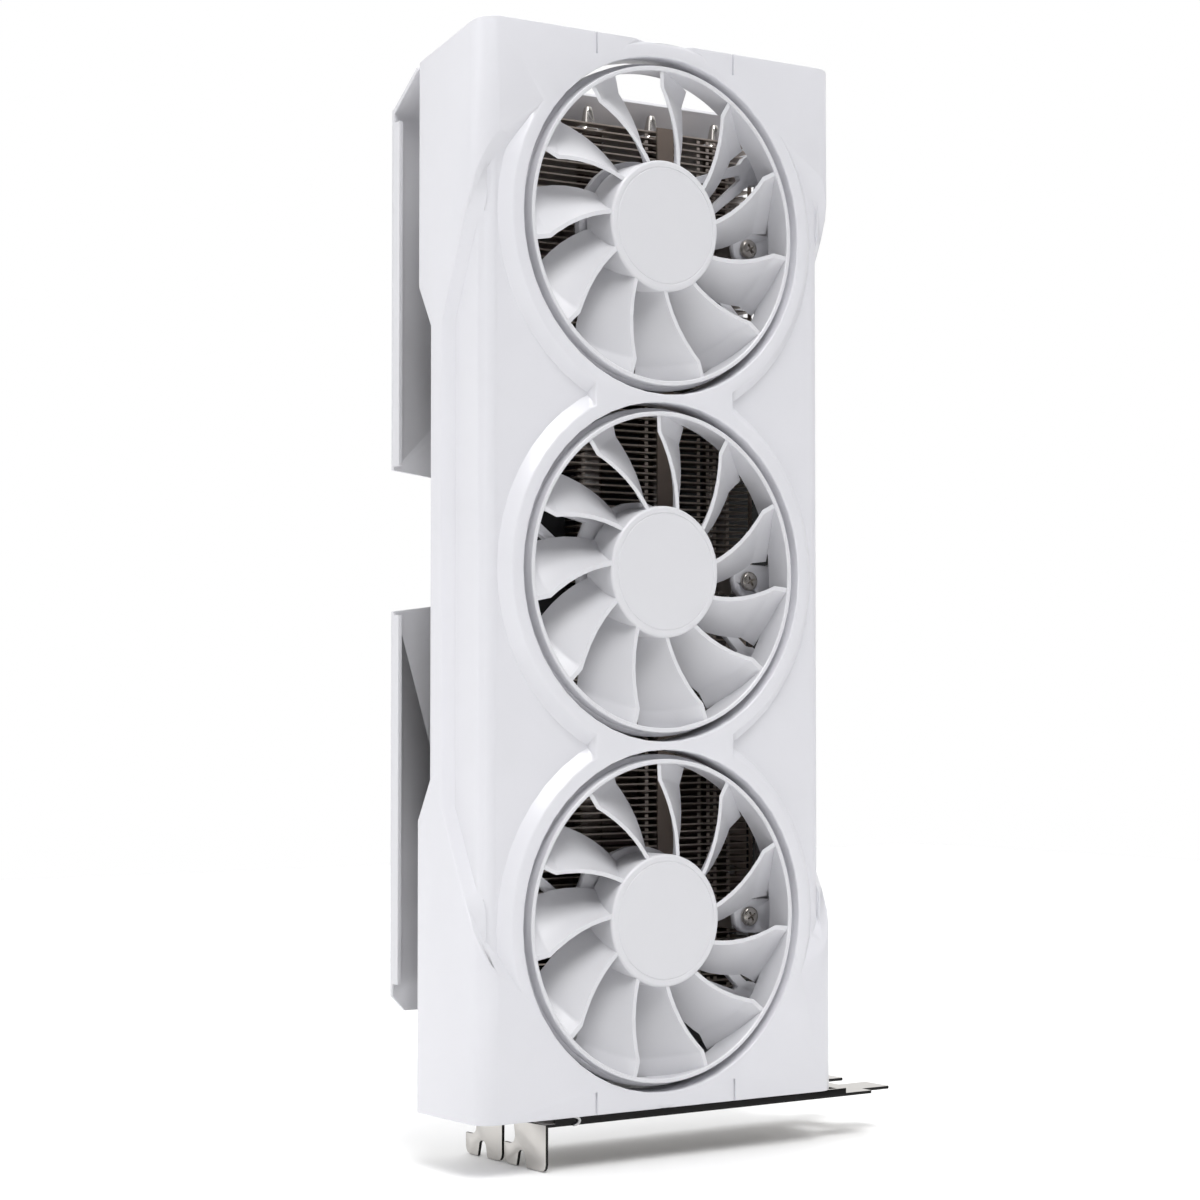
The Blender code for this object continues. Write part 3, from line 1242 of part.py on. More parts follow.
def make_backplate(finish):
    """The bent sheet over the board's back: two side wings, a slanted far end and four standoffs."""
    inside = PLATE_FACE - PLATE_THICKNESS
    left = -HALF_WIDTH
    plate = solid((add_prism, plate_outline(), "Y", inside, PLATE_FACE))
    wing_front = PLATE_FACE - WING_DEPTH
    for low, high in ((WING_START, NOTCH_LOW - 0.001), (NOTCH_HIGH + 0.001, PLATE_BEND - 0.0035)):
        corner = (left + PLATE_THICKNESS, PLATE_FACE - PLATE_THICKNESS / 2, high)
        combine(plate, solid((add_box, (left, wing_front, low), corner)), "UNION")
    edge_depth = PLATE_FACE - TOP_FLANGE_DEPTH
    lean = math.atan2(TOP_FLANGE_DEPTH, TOP_FLANGE_EDGE - PLATE_BEND)
    across = (PLATE_THICKNESS * math.sin(lean), PLATE_THICKNESS * math.cos(lean))
    flange = [
        (PLATE_FACE, PLATE_BEND - 0.0004),
        (edge_depth, TOP_FLANGE_EDGE),
        (edge_depth - across[1], TOP_FLANGE_EDGE - across[0]),
        (inside, PLATE_BEND - 0.0012),
    ]
    combine(plate, solid((add_prism, flange, "X", left, PLATE_RIGHT)), "UNION")
    standoffs = []
    for x, z in PLATE_SCREWS:
        profile = [(0.0, BOARD_THICKNESS + GAP), (STANDOFF_RADIUS, BOARD_THICKNESS + GAP)]
        profile += [(STANDOFF_RADIUS + 0.001, inside + 0.0004), (0.0, inside + 0.0004)]
        standoffs.append((add_turned, profile, (x, 0.0, z), 16))
    combine(plate, solid(*standoffs), "UNION")
    holes = [hole(x, z, SCREW_HOLE_RADIUS, 0.0, PLATE_FACE + MARGIN) for x, z in PLATE_SCREWS]
    combine(plate, solid(*holes), "DIFFERENCE")
    return finished("backplate", plate, finish)


def make_finishes():
    """One material per kind of surface."""
    return {
        "white_plastic": material("white_plastic", (0.83, 0.83, 0.86), 0.38),
        "white_paint": material("white_paint", (0.80, 0.80, 0.83), 0.45),
        "steel": material("steel", (0.62, 0.60, 0.58), 0.32, 1.0),
        "fin_metal": material("fin_metal", (0.10, 0.09, 0.085), 0.35, 1.0),
        "copper": material("copper", (0.60, 0.33, 0.20), 0.35, 1.0),
        "nickel": material("nickel", (0.70, 0.68, 0.65), 0.22, 1.0),
        "brass": material("brass", (0.70, 0.55, 0.28), 0.35, 1.0),
        "dark_iron": material("dark_iron", (0.07, 0.07, 0.075), 0.5, 0.8),
        "green": material("green", (0.02, 0.10, 0.06), 0.5),
        "board_black": material("board_black", (0.012, 0.013, 0.015), 0.45),
        "black_plastic": material("black_plastic", (0.02, 0.02, 0.022), 0.5),
    }


def main():
    """Build the card."""
    clear_scene()
    finishes = make_finishes()
    make_shroud(finishes["white_plastic"])
    make_fans(finishes)
    make_screws(finishes["steel"])
    make_leads(finishes["black_plastic"])
    make_fin_stack(finishes["fin_metal"])
    make_heat_pipes(finishes["nickel"])
    make_chip_stack(finishes)
    make_board(finishes["board_black"])
    make_power_connectors(finishes["black_plastic"])
    make_header(finishes["black_plastic"])
    make_chokes(finishes["dark_iron"])
    make_bracket(finishes["steel"])
    make_display_connectors(finishes["steel"])
    make_backplate(finishes["white_paint"])


main()
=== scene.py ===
"""The looks of a three-fan graphics card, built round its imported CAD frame.

Metres, in the frame of the CAD: +Z runs along the card away from its slot bracket, the fans face -Y, the
power sockets face -X and the board's edge contacts face +X.
"""

import json
import logging
import math
from collections.abc import Iterable, Sequence
from dataclasses import dataclass, field
from enum import Enum

import bmesh
import bpy
from mathutils import Matrix, Vector


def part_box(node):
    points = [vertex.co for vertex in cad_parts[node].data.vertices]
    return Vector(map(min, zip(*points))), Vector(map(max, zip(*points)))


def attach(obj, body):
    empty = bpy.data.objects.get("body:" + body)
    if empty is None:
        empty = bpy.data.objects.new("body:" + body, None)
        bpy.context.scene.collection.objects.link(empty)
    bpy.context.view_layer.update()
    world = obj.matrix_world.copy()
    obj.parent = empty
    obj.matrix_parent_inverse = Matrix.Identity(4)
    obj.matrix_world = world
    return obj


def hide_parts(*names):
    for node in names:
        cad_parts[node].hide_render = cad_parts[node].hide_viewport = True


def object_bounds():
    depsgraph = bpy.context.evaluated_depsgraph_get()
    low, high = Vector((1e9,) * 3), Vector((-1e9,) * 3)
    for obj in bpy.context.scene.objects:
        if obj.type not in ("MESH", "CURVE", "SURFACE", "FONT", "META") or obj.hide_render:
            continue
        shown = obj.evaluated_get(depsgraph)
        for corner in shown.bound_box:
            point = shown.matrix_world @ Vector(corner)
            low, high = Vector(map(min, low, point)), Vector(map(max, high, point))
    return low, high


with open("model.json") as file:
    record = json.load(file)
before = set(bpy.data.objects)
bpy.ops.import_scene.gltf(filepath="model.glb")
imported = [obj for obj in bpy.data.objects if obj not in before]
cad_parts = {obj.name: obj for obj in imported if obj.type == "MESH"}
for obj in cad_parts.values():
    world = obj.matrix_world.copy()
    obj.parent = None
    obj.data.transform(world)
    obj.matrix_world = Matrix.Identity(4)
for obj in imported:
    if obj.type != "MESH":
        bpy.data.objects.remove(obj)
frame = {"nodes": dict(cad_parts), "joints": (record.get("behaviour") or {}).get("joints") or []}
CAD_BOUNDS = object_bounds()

log = logging.getLogger("card")

Point = tuple[float, float]
Corner = tuple[float, float, float]

MM = 0.001
MM_PER_METRE = 1000
FULL_TURN = 2 * math.pi
CARD = "card"  # the CAD body that stands still
WELD = 2e-6  # points of a CAD mesh this close are one
FLAT = math.radians(0.5)  # faces that turn by less than this are one
ANY_SHAPE = math.radians(179)  # whatever the shape of the two triangles
FAN_TURNS = (0.0, 0.0, -1.5)  # degrees that each fan stands off its CAD place


# ---- node and mesh tools --------------------------------------------------------------------------
def linear(colour: str) -> tuple[float, float, float, float]:
    """Turn an sRGB hex colour into linear RGBA.

    Args:
        colour: Six hex digits after a hash sign.

    Returns:
        Linear red, green, blue and an alpha of one.
    """
    shares = [int(colour[start : start + 2], 16) / 255 for start in (1, 3, 5)]
    red, green, blue = (s / 12.92 if s <= 0.04045 else ((s + 0.055) / 1.055) ** 2.4 for s in shares)
    return (red, green, blue, 1.0)


def add_node(
    tree: bpy.types.NodeTree, kind: str, inputs: dict | None = None, **settings: object
) -> bpy.types.Node:
    """Add a node with its settings, its input values and its links.

    Args:
        tree: The node tree that takes the node.
        kind: The node's Blender type.
        inputs: Values or output sockets, by input name or number.
        **settings: Attributes of the node.

    Returns:
        The new node.
    """
    node = tree.nodes.new(kind)
    for name, value in settings.items():
        setattr(node, name, value)
    for key, value in (inputs or {}).items():
        if isinstance(value, bpy.types.NodeSocket):
            tree.links.new(value, node.inputs[key])
        else:
            node.inputs[key].default_value = value
    return node


def arc(centre: Point, radius: float, start: float, end: float, steps: int) -> list[Point]:
    """Points on a circle from one angle in degrees to another, both ends included."""
    angles = [math.radians(start + (end - start) * step / steps) for step in range(steps + 1)]
    return [(centre[0] + radius * math.cos(a), centre[1] + radius * math.sin(a)) for a in angles]


class Work:
    """A closed working mesh made of simple shapes, which can be joined and cut with others."""

    def __init__(self) -> None:
        """Start with an empty mesh."""
        self.bm = bmesh.new()

    def prism(self, outline: Sequence[Point], low: float, high: float) -> "Work":
        """Extrude a closed outline between two heights.

        Args:
            outline: The (x, y) points of the outline, in order.
            low: The first end's height.
            high: The second end's height.

        Returns:
            This mesh.
        """
        near = [self.bm.verts.new((x, y, low)) for x, y in outline]
        far = [self.bm.verts.new((x, y, high)) for x, y in outline]
        self.bm.faces.new(near)
        self.bm.faces.new(far)
        for index in range(len(outline)):
            after = (index + 1) % len(outline)
            self.bm.faces.new((near[index], near[after], far[after], far[index]))
        return self

    def box(self, low: Corner, high: Corner) -> "Work":
        """Add a box between two corners."""
        outline = [(low[0], low[1]), (high[0], low[1]), (high[0], high[1]), (low[0], high[1])]
        return self.prism(outline, low[2], high[2])

    def turned(self, profile: Sequence[Point], centre: Corner, segments: int) -> "Work":
        """Turn a closed profile round an axis along Y.

        Args:
            profile: The (radius, depth) points of the profile, in order.
            centre: The point on the axis that depths are counted from.
            segments: The number of steps round the axis.

        Returns:
            This mesh.
        """
        rings = []
        for radius, depth in profile:
            angles = [0.0] if radius == 0.0 else [FULL_TURN * step / segments for step in range(segments)]
            places = [(centre[0] + radius * math.cos(a), centre[2] + radius * math.sin(a)) for a in angles]
            rings.append([self.bm.verts.new((x, centre[1] + depth, z)) for x, z in places])
        for first, second in zip(rings, rings[1:] + rings[:1]):
            for step in range(segments if len(first) + len(second) > 2 else 0):
                after = (step + 1) % segments
                corners = (
                    first[step % len(first)],
                    first[after % len(first)],
                    second[after % len(second)],
                    second[step % len(second)],
                )
                self.bm.faces.new(list(dict.fromkeys(corners)))
        return self

    def loft(self, rows: Sequence[Sequence[Corner]]) -> "Work":
        """Skin closed rows of points and cap both ends.

        Args:
            rows: The rows in order, each of the same number of points.

        Returns:
            This mesh.
        """
        rings = [[self.bm.verts.new(point) for point in row] for row in rows]
        self.bm.faces.new(rings[0])
        self.bm.faces.new(rings[-1])
        for first, second in zip(rings, rings[1:]):
            for index in range(len(first)):
                after = (index + 1) % len(first)
                self.bm.faces.new((first[index], first[after], second[after], second[index]))
        return self

    def made(self, name: str) -> bpy.types.Object:
        """Turn the faces outwards and make an object of the mesh.

        Args:
            name: The object's name.

        Returns:
            The new object, linked to the scene.
        """
        bmesh.ops.recalc_face_normals(self.bm, faces=self.bm.faces)
        mesh = bpy.data.meshes.new(name)
        self.bm.to_mesh(mesh)
        self.bm.free()
        return placed(name, mesh)


def placed(name: str, data: bpy.types.ID) -> bpy.types.Object:
    """Put some data in the scene as an object.

    Args:
        name: The object's name.
        data: Its mesh, light or camera.

    Returns:
        The new object.
    """
    made = bpy.data.objects.new(name, data)
    bpy.context.scene.collection.objects.link(made)
    return made


def baked(piece: bpy.types.Object) -> None:
    """Turn a piece's modifiers into its plain mesh.

    Args:
        piece: The piece, which keeps no modifier.
    """
    bpy.context.view_layer.update()
    graph = bpy.context.evaluated_depsgraph_get()
    mesh = bpy.data.meshes.new_from_object(piece.evaluated_get(graph))
    piece.modifiers.clear()
    piece.data = mesh


def cut(target: bpy.types.Object, tool: bpy.types.Object) -> None:
    """Cut a closed object out of another, and remove it.

    Args:
        target: The piece that is cut.
        tool: The shape that it loses.
    """
    modifier = target.modifiers.new("Cut", "BOOLEAN")
    modifier.operation = "DIFFERENCE"
    modifier.solver = "EXACT"
    modifier.object = tool
    baked(target)
    bpy.data.objects.remove(tool, do_unlink=True)


def smoothed(piece: bpy.types.Object, angle: float) -> None:
    """Shade a piece smooth, and keep ridges that turn by more than this many degrees."""
    piece.data.shade_smooth()
    piece.data.set_sharp_from_angle(angle=math.radians(angle))


def softened(piece: bpy.types.Object, width: float, angle: float = 32.0, segments: int = 2) -> None:
    """Round a piece's sharp edges, as moulding or stamping leaves them.

    Args:
        piece: The piece to round.
        width: How far the rounding reaches from each edge.
        angle: Ridges that turn by more than this many degrees are rounded; such valleys stay sharp.
        segments: The number of faces across the rounding.
    """
    bm = bmesh.new()
    bm.from_mesh(piece.data)
    bmesh.ops.triangulate(bm, faces=bm.faces)
    bmesh.ops.remove_doubles(bm, verts=bm.verts, dist=WELD)
    limits = {"angle_face_threshold": FLAT, "angle_shape_threshold": ANY_SHAPE}
    bmesh.ops.join_triangles(bm, faces=bm.faces, **limits)
    weights = bm.edges.layers.float.new("bevel_weight_edge")
    limit = math.radians(angle)
    for edge in bm.edges:
        turn = edge.calc_face_angle_signed(0.0)
        rounded = turn > limit and edge.calc_length() > width / 2
        edge[weights] = 1.0 if rounded else 0.0
        edge.smooth = rounded or abs(turn) < limit
    bm.to_mesh(piece.data)
    bm.free()
    modifier = piece.modifiers.new("Rounding", "BEVEL")
    modifier.limit_method = "WEIGHT"
    modifier.width = width
    modifier.segments = segments
    modifier.use_clamp_overlap = False
    modifier.miter_outer = "MITER_ARC"
    modifier.harden_normals = True
    piece.data.shade_smooth()
    baked(piece)


def dressed(piece: bpy.types.Object, material: bpy.types.Material, slot: str, body: str, *nodes: str) -> None:
    """Give a finished piece its material and the body it rides on.

    Args:
        piece: The piece.
        material: Its finish, for every face that has none of its own.
        slot: The record's material slot; not used.
        body: The CAD body it moves with.
        *nodes: The CAD nodes that it stands for.
    """
    if not any(piece.data.materials):
        piece.data.materials.clear()
        piece.data.materials.append(material)
    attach(piece, body)
    if nodes:
        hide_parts(*nodes)
    log.info("%s: %d faces on %s", piece.name, len(piece.data.polygons), body)


def copied(node: str, name: str) -> bpy.types.Object:
    """Copy a CAD node's mesh with its points merged.

    Args:
        node: The CAD node.
        name: The copy's name.

    Returns:
        The copy, as a new object.
    """
    bm = bmesh.new()
    bm.from_mesh(frame["nodes"][node].data)
    bmesh.ops.remove_doubles(bm, verts=bm.verts, dist=WELD)
    mesh = bpy.data.meshes.new(name)
    bm.to_mesh(mesh)
    bm.free()
    return placed(name, mesh)


# ---- finishes -------------------------------------------------------------------------------------
@dataclass(frozen=True)
class Finish:
    """A surface: a base colour that drifts a little, and a fine grain that the light catches.

    The lengths that end in _mm are the patterns' real sizes in millimetres.
    """

    name: str
    colour: str
    roughness: float
    metallic: float = 0.0
    ior: float = 1.5
    coat: float = 0.0
    grain_mm: float = 0.5
    grain_depth_mm: float = 0.006
    stretch: Corner = (1.0, 1.0, 1.0)
    drift: float = 0.05
    drift_mm: float = 22.0
    polish: float = 0.04
    polish_mm: float = 6.0
    polish_span: Point = (0.3, 0.7)

    def surface(self, tree: bpy.types.NodeTree, place: bpy.types.NodeSocket) -> bpy.types.NodeSocket:
        """Drift the base colour over the surface.

        Args:
            tree: The material's node tree.
            place: The socket that gives the place on the piece.

        Returns:
            The socket that gives the colour there.
        """
        clouds = {"Vector": place, "Scale": MM_PER_METRE / self.drift_mm, "Detail": 3.0}
        cloud = add_node(tree, "ShaderNodeTexNoise", clouds)
        base = linear(self.colour)
        dark = (*(channel * (1 - self.drift) for channel in base[:3]), 1.0)
        mix = add_node(tree, "ShaderNodeMix", data_type="RGBA")
        tree.links.new(cloud.outputs[0], mix.inputs[0])
        mix.inputs[6].default_value = dark
        mix.inputs[7].default_value = base
        return mix.outputs[2]

    def relief(self, tree: bpy.types.NodeTree, place: bpy.types.NodeSocket) -> bpy.types.NodeSocket:
        """Raise the fine grain.

        Args:
            tree: The material's node tree.
            place: The socket that gives the place on the piece.

        Returns:
            The socket that gives the grain's height there, from 0 to 1.
        """
        mapping = add_node(tree, "ShaderNodeMapping", {"Vector": place, "Scale": self.stretch})
        grain = {"Vector": mapping.outputs[0], "Scale": MM_PER_METRE / self.grain_mm, "Detail": 2.0}
        return add_node(tree, "ShaderNodeTexNoise", grain).outputs[0]

    def build(self) -> bpy.types.Material:
        """Make the material.

        Returns:
            A new node material that reads only Object coordinates.
        """
        made = bpy.data.materials.new(self.name)
        made.use_nodes = True
        tree = made.node_tree
        shader = tree.nodes["Principled BSDF"]
        place = add_node(tree, "ShaderNodeTexCoord").outputs["Object"]
        patches = {"Vector": place, "Scale": MM_PER_METRE / self.polish_mm, "Detail": 4.0}
        wear = add_node(tree, "ShaderNodeTexNoise", patches)
        low, high = self.polish_span
        span = {"Value": wear.outputs[0], "From Min": low, "From Max": high}
        span |= {"To Min": self.roughness - self.polish, "To Max": self.roughness + self.polish}
        gloss = add_node(tree, "ShaderNodeMapRange", span)
        raised = {"Height": self.relief(tree, place), "Distance": self.grain_depth_mm * MM}
        bump = add_node(tree, "ShaderNodeBump", raised)
        tree.links.new(self.surface(tree, place), shader.inputs["Base Color"])
        tree.links.new(gloss.outputs[0], shader.inputs["Roughness"])
        tree.links.new(bump.outputs[0], shader.inputs["Normal"])
        shader.inputs["Metallic"].default_value = self.metallic
        if self.metallic == 0.0:
            shader.inputs["IOR"].default_value = self.ior
        shader.inputs["Coat Weight"].default_value = self.coat
        made.diffuse_color = linear(self.colour)
        return made


@dataclass(frozen=True)
class MaskedLaminate(Finish):
    """Glass laminate under dark solder mask: its copper tracks show as a faint raised net."""

    track_mm: float = 2.2
    track_span: Point = (0.42, 0.50)
    track_disorder: float = 0.8

    def relief(self, tree: bpy.types.NodeTree, place: bpy.types.NodeSocket) -> bpy.types.NodeSocket:
        """Raise the tracks' edges, as the borders of nearly square cells.

        Args:
            tree: The material's node tree.
            place: The socket that gives the place on the piece.

        Returns:
            The socket that gives the tracks' height there, from 0 to 1.
        """
        cells = {"Vector": place, "Scale": MM_PER_METRE / self.track_mm, "Randomness": self.track_disorder}
        net = add_node(tree, "ShaderNodeTexVoronoi", cells, distance="CHEBYCHEV", feature="F1")
        low, high = self.track_span
        step = {"Value": net.outputs["Distance"], "From Min": low, "From Max": high}
        return add_node(tree, "ShaderNodeMapRange", step).outputs[0]


class Paint(Enum):
    """Every finish of the card, named for the material and how its surface was made."""

    # Injection-moulded ABS with a fine satin tool texture: cool white, with soft highlights.
    SHROUD_ABS = Finish(
        "moulded_white_abs", "#DFDFE4", 0.34, ior=1.53, coat=0.12, grain_mm=0.45, grain_depth_mm=0.003
    )
    # Injection-moulded PBT: a little greyer and duller than the shell.
    FAN_PBT = Finish(
        "moulded_white_pbt", "#DADADE", 0.40, ior=1.55, grain_mm=0.4, grain_depth_mm=0.003, drift=0.03
    )
    # Powder coat baked on sheet steel: dull white with a slight orange peel.
    POWDER_COAT = Finish(
        "white_powder_coat", "#D8D8DC", 0.46, grain_mm=0.8, grain_depth_mm=0.012, drift=0.03
    )
    # Nickel plate over stamped, brushed steel: long glints across lines that run along the bracket.
    BRACKET_NICKEL = Finish(
        "brushed_nickel_steel",
        "#CFCCC8",
        0.36,
        1.0,
        grain_mm=0.35,
        grain_depth_mm=0.006,
        stretch=(0.06, 1, 1),
    )
    # Steel painted near black on the bracket's cut edges: painted shade, a black outline round the bracket.
    BRACKET_EDGE_SHADE = Finish("bracket_edge_painted_shade", "#1D1C1C", 0.42, 0.7, grain_mm=0.3, grain_depth_mm=0.01)
    # Stamped aluminium under thin dark nickel: a brown sheen that drifts from fin to fin.
    FIN_NICKEL = Finish(
        "dark_nickel_fin", "#9E9085", 0.42, 0.6, grain_mm=1.2, grain_depth_mm=0.004, drift=0.25
    )
    # The same coat as the fins, painted brighter on each fin's bent front edge: a painted highlight where the
    # light catches the edges.
    FIN_EDGE_HIGHLIGHT = Finish(
        "fin_edge_painted_highlight", "#CFC3B8", 0.36, 0.7, grain_mm=0.8, grain_depth_mm=0.004, drift=0.35
    )
    # Polished nickel on copper pipe: sharp reflections.
    PIPE_NICKEL = Finish("polished_nickel_pipe", "#CFCBC6", 0.16, 1.0, grain_mm=1.5, grain_depth_mm=0.003)
    # Zinc-plated, cold-headed screws: warm grey and bright.
    SCREW_ZINC = Finish("zinc_screw", "#B9B4AE", 0.28, 1.0, grain_mm=0.3, grain_depth_mm=0.004)
    # Tinned, folded steel: plain light grey.
    SHELL_TIN = Finish("tinned_steel_shell", "#B8B8B8", 0.30, 1.0, grain_mm=0.6, grain_depth_mm=0.004)
    # Bare copper: red-brown with long fine lines.
    BARE_COPPER = Finish(
        "milled_copper", "#C27C58", 0.33, 1.0, grain_mm=0.3, grain_depth_mm=0.005, stretch=(0.05, 1, 1)
    )
    # Hard gold plate: yellow and glossy.
    GOLD_PLATE = Finish("hard_gold_plate", "#D9B25A", 0.24, 1.0, grain_mm=0.4, grain_depth_mm=0.002)
    # Sintered bronze, oiled: dull, with open pores.
    SINTERED_BRONZE = Finish("sintered_bronze", "#A9824F", 0.45, 1.0, grain_mm=0.15, grain_depth_mm=0.012)
    # Pressed ferrite: matt dark grey.
    FERRITE = Finish("pressed_ferrite", "#2B2B2E", 0.6, grain_mm=0.3, grain_depth_mm=0.01)
    # Stamped steel with black oxide: dark, with dim highlights.
    OXIDE_STEEL = Finish("black_oxide_steel", "#242427", 0.42, 0.8, grain_mm=0.5, grain_depth_mm=0.006)
    # Glass laminate under black solder mask: nearly black, with faint raised tracks.
    SOLDER_MASK = MaskedLaminate("black_solder_mask", "#101214", 0.40, grain_depth_mm=0.03, drift=0.2)
    # Chip carrier laminate: dark green satin.
    CHIP_LAMINATE = Finish("green_chip_laminate", "#1F4A33", 0.4, grain_mm=0.5, grain_depth_mm=0.004)
    # Moulded nylon: black, slightly mottled.
    NYLON = Finish("moulded_black_nylon", "#1B1B1D", 0.50, ior=1.53, grain_mm=0.3, grain_depth_mm=0.008)
    # Extruded PVC sleeve: black with a soft line of light.
    WIRE_PVC = Finish("extruded_black_pvc", "#141416", 0.42, grain_mm=0.6, grain_depth_mm=0.004)
    # Drawn aluminium: pale and bright.
    CAN_TIN = Finish("drawn_aluminium_can", "#C9C9CB", 0.30, 1.0, grain_mm=0.4, grain_depth_mm=0.004)
    # Painted board under the card: near white and matt.
    FLOOR = Finish("pale_floor", "#FDFDFD", 0.7, grain_mm=3.0, drift=0.005)

    @property
    def material(self) -> bpy.types.Material:
        """This finish's material, made when it is first asked for."""
        return bpy.data.materials.get(self.value.name) or self.value.build()


# ---- Geometry Nodes tools -------------------------------------------------------------------------
SHANK_SIDES = 24


@dataclass
class Pattern:
    """A Geometry Nodes tree that repeats one source object over the points of the mesh it is put on."""

    name: str
    material: bpy.types.Material
    tree: bpy.types.NodeTree = field(init=False)
    shade_angle: float = 35.0

    def __post_init__(self) -> None:
        """Build the tree: source object, optional round shank, instances, realised, with one material."""
        tree = bpy.data.node_groups.new(self.name, "GeometryNodeTree")
        face = tree.interface
        face.new_socket("Geometry", in_out="INPUT", socket_type="NodeSocketGeometry")
        face.new_socket("Source", in_out="INPUT", socket_type="NodeSocketObject")
        face.new_socket("Turn", in_out="INPUT", socket_type="NodeSocketVector")
        face.new_socket("Shank radius", in_out="INPUT", socket_type="NodeSocketFloat")
        face.new_socket("Shank length", in_out="INPUT", socket_type="NodeSocketFloat")
        face.new_socket("Geometry", in_out="OUTPUT", socket_type="NodeSocketGeometry")
        given = add_node(tree, "NodeGroupInput").outputs
        source = add_node(tree, "GeometryNodeObjectInfo", {"Object": given["Source"]})
        rod = {"Vertices": SHANK_SIDES, "Radius": given["Shank radius"], "Depth": given["Shank length"]}
        shank = add_node(tree, "GeometryNodeMeshCylinder", rod)
        half = add_node(tree, "ShaderNodeMath", {0: given["Shank length"], 1: -0.5}, operation="MULTIPLY")
        down = add_node(tree, "ShaderNodeCombineXYZ", {"Z": half.outputs[0]})
        seat = {"Geometry": shank.outputs["Mesh"], "Translation": down.outputs[0]}
        sunk = add_node(tree, "GeometryNodeTransform", seat)
        whole = add_node(tree, "GeometryNodeJoinGeometry")
        tree.links.new(source.outputs["Geometry"], whole.inputs[0])
        length = {0: given["Shank length"], 1: 0.0}
        wanted = add_node(tree, "FunctionNodeCompare", length, operation="GREATER_THAN")
        choice = {"Switch": wanted.outputs[0], "True": sunk.outputs[0]}
        chosen = add_node(tree, "GeometryNodeSwitch", choice)
        tree.links.new(chosen.outputs[0], whole.inputs[0])
        turned = add_node(tree, "FunctionNodeEulerToRotation", {0: given["Turn"]})
        copies = {"Points": given["Geometry"], "Instance": whole.outputs[0], "Rotation": turned.outputs[0]}
        spread = add_node(tree, "GeometryNodeInstanceOnPoints", copies)
        real = add_node(tree, "GeometryNodeRealizeInstances", {"Geometry": spread.outputs[0]})
        paint = {"Geometry": real.outputs[0], "Material": self.material}
        coloured = add_node(tree, "GeometryNodeSetMaterial", paint)
        add_node(tree, "NodeGroupOutput", {"Geometry": coloured.outputs[0]})
        self.tree = tree

    def over(
        self, name: str, points: Iterable[Corner], source: bpy.types.Object, turn: Corner, **sizes: float
    ) -> bpy.types.Object:
        """Repeat the source over points.

        Args:
            name: The new piece's name.
            points: Where each copy goes.
            source: The object to repeat, which stays in the scene.
            turn: The copies' rotation in radians.
            **sizes: Values of the tree's other inputs, with _ for a space.

        Returns:
            One plain mesh object with every copy in it.
        """
        mesh = bpy.data.meshes.new(name)
        mesh.from_pydata([tuple(point) for point in points], [], [])
        made = placed(name, mesh)
        modifier = made.modifiers.new("Pattern", "NODES")
        modifier.node_group = self.tree
        values = {"Source": source, "Turn": turn}
        values |= {key.replace("_", " ").capitalize(): value for key, value in sizes.items()}
        for item in self.tree.interface.items_tree:
            if item.in_out == "INPUT" and item.name in values:
                modifier[item.identifier] = values[item.name]
        made.update_tag()
        baked(made)
        smoothed(made, self.shade_angle)
        return made


def repeated(
    name: str,
    paint: Paint,
    points: Iterable[Corner],
    source: bpy.types.Object,
    slot: str,
    nodes: Sequence[str] = (),
    turn: Corner = (0.0, 0.0, 0.0),
    **sizes: float,
) -> None:
    """Make one dressed piece of the card by repeating a source object, and remove the source.

    Args:
        name: The piece's name.
        paint: Its finish.
        points: Where each copy goes.
        source: The object to repeat.
        slot: The record's material slot.
        nodes: The CAD nodes that the piece stands for.
        turn: The copies' rotation in radians.
        **sizes: Values of the pattern's other inputs, with _ for a space.
    """
    piece = Pattern(name, paint.material).over(name, points, source, turn, **sizes)
    bpy.data.objects.remove(source, do_unlink=True)
    dressed(piece, paint.material, slot, CARD, *nodes)


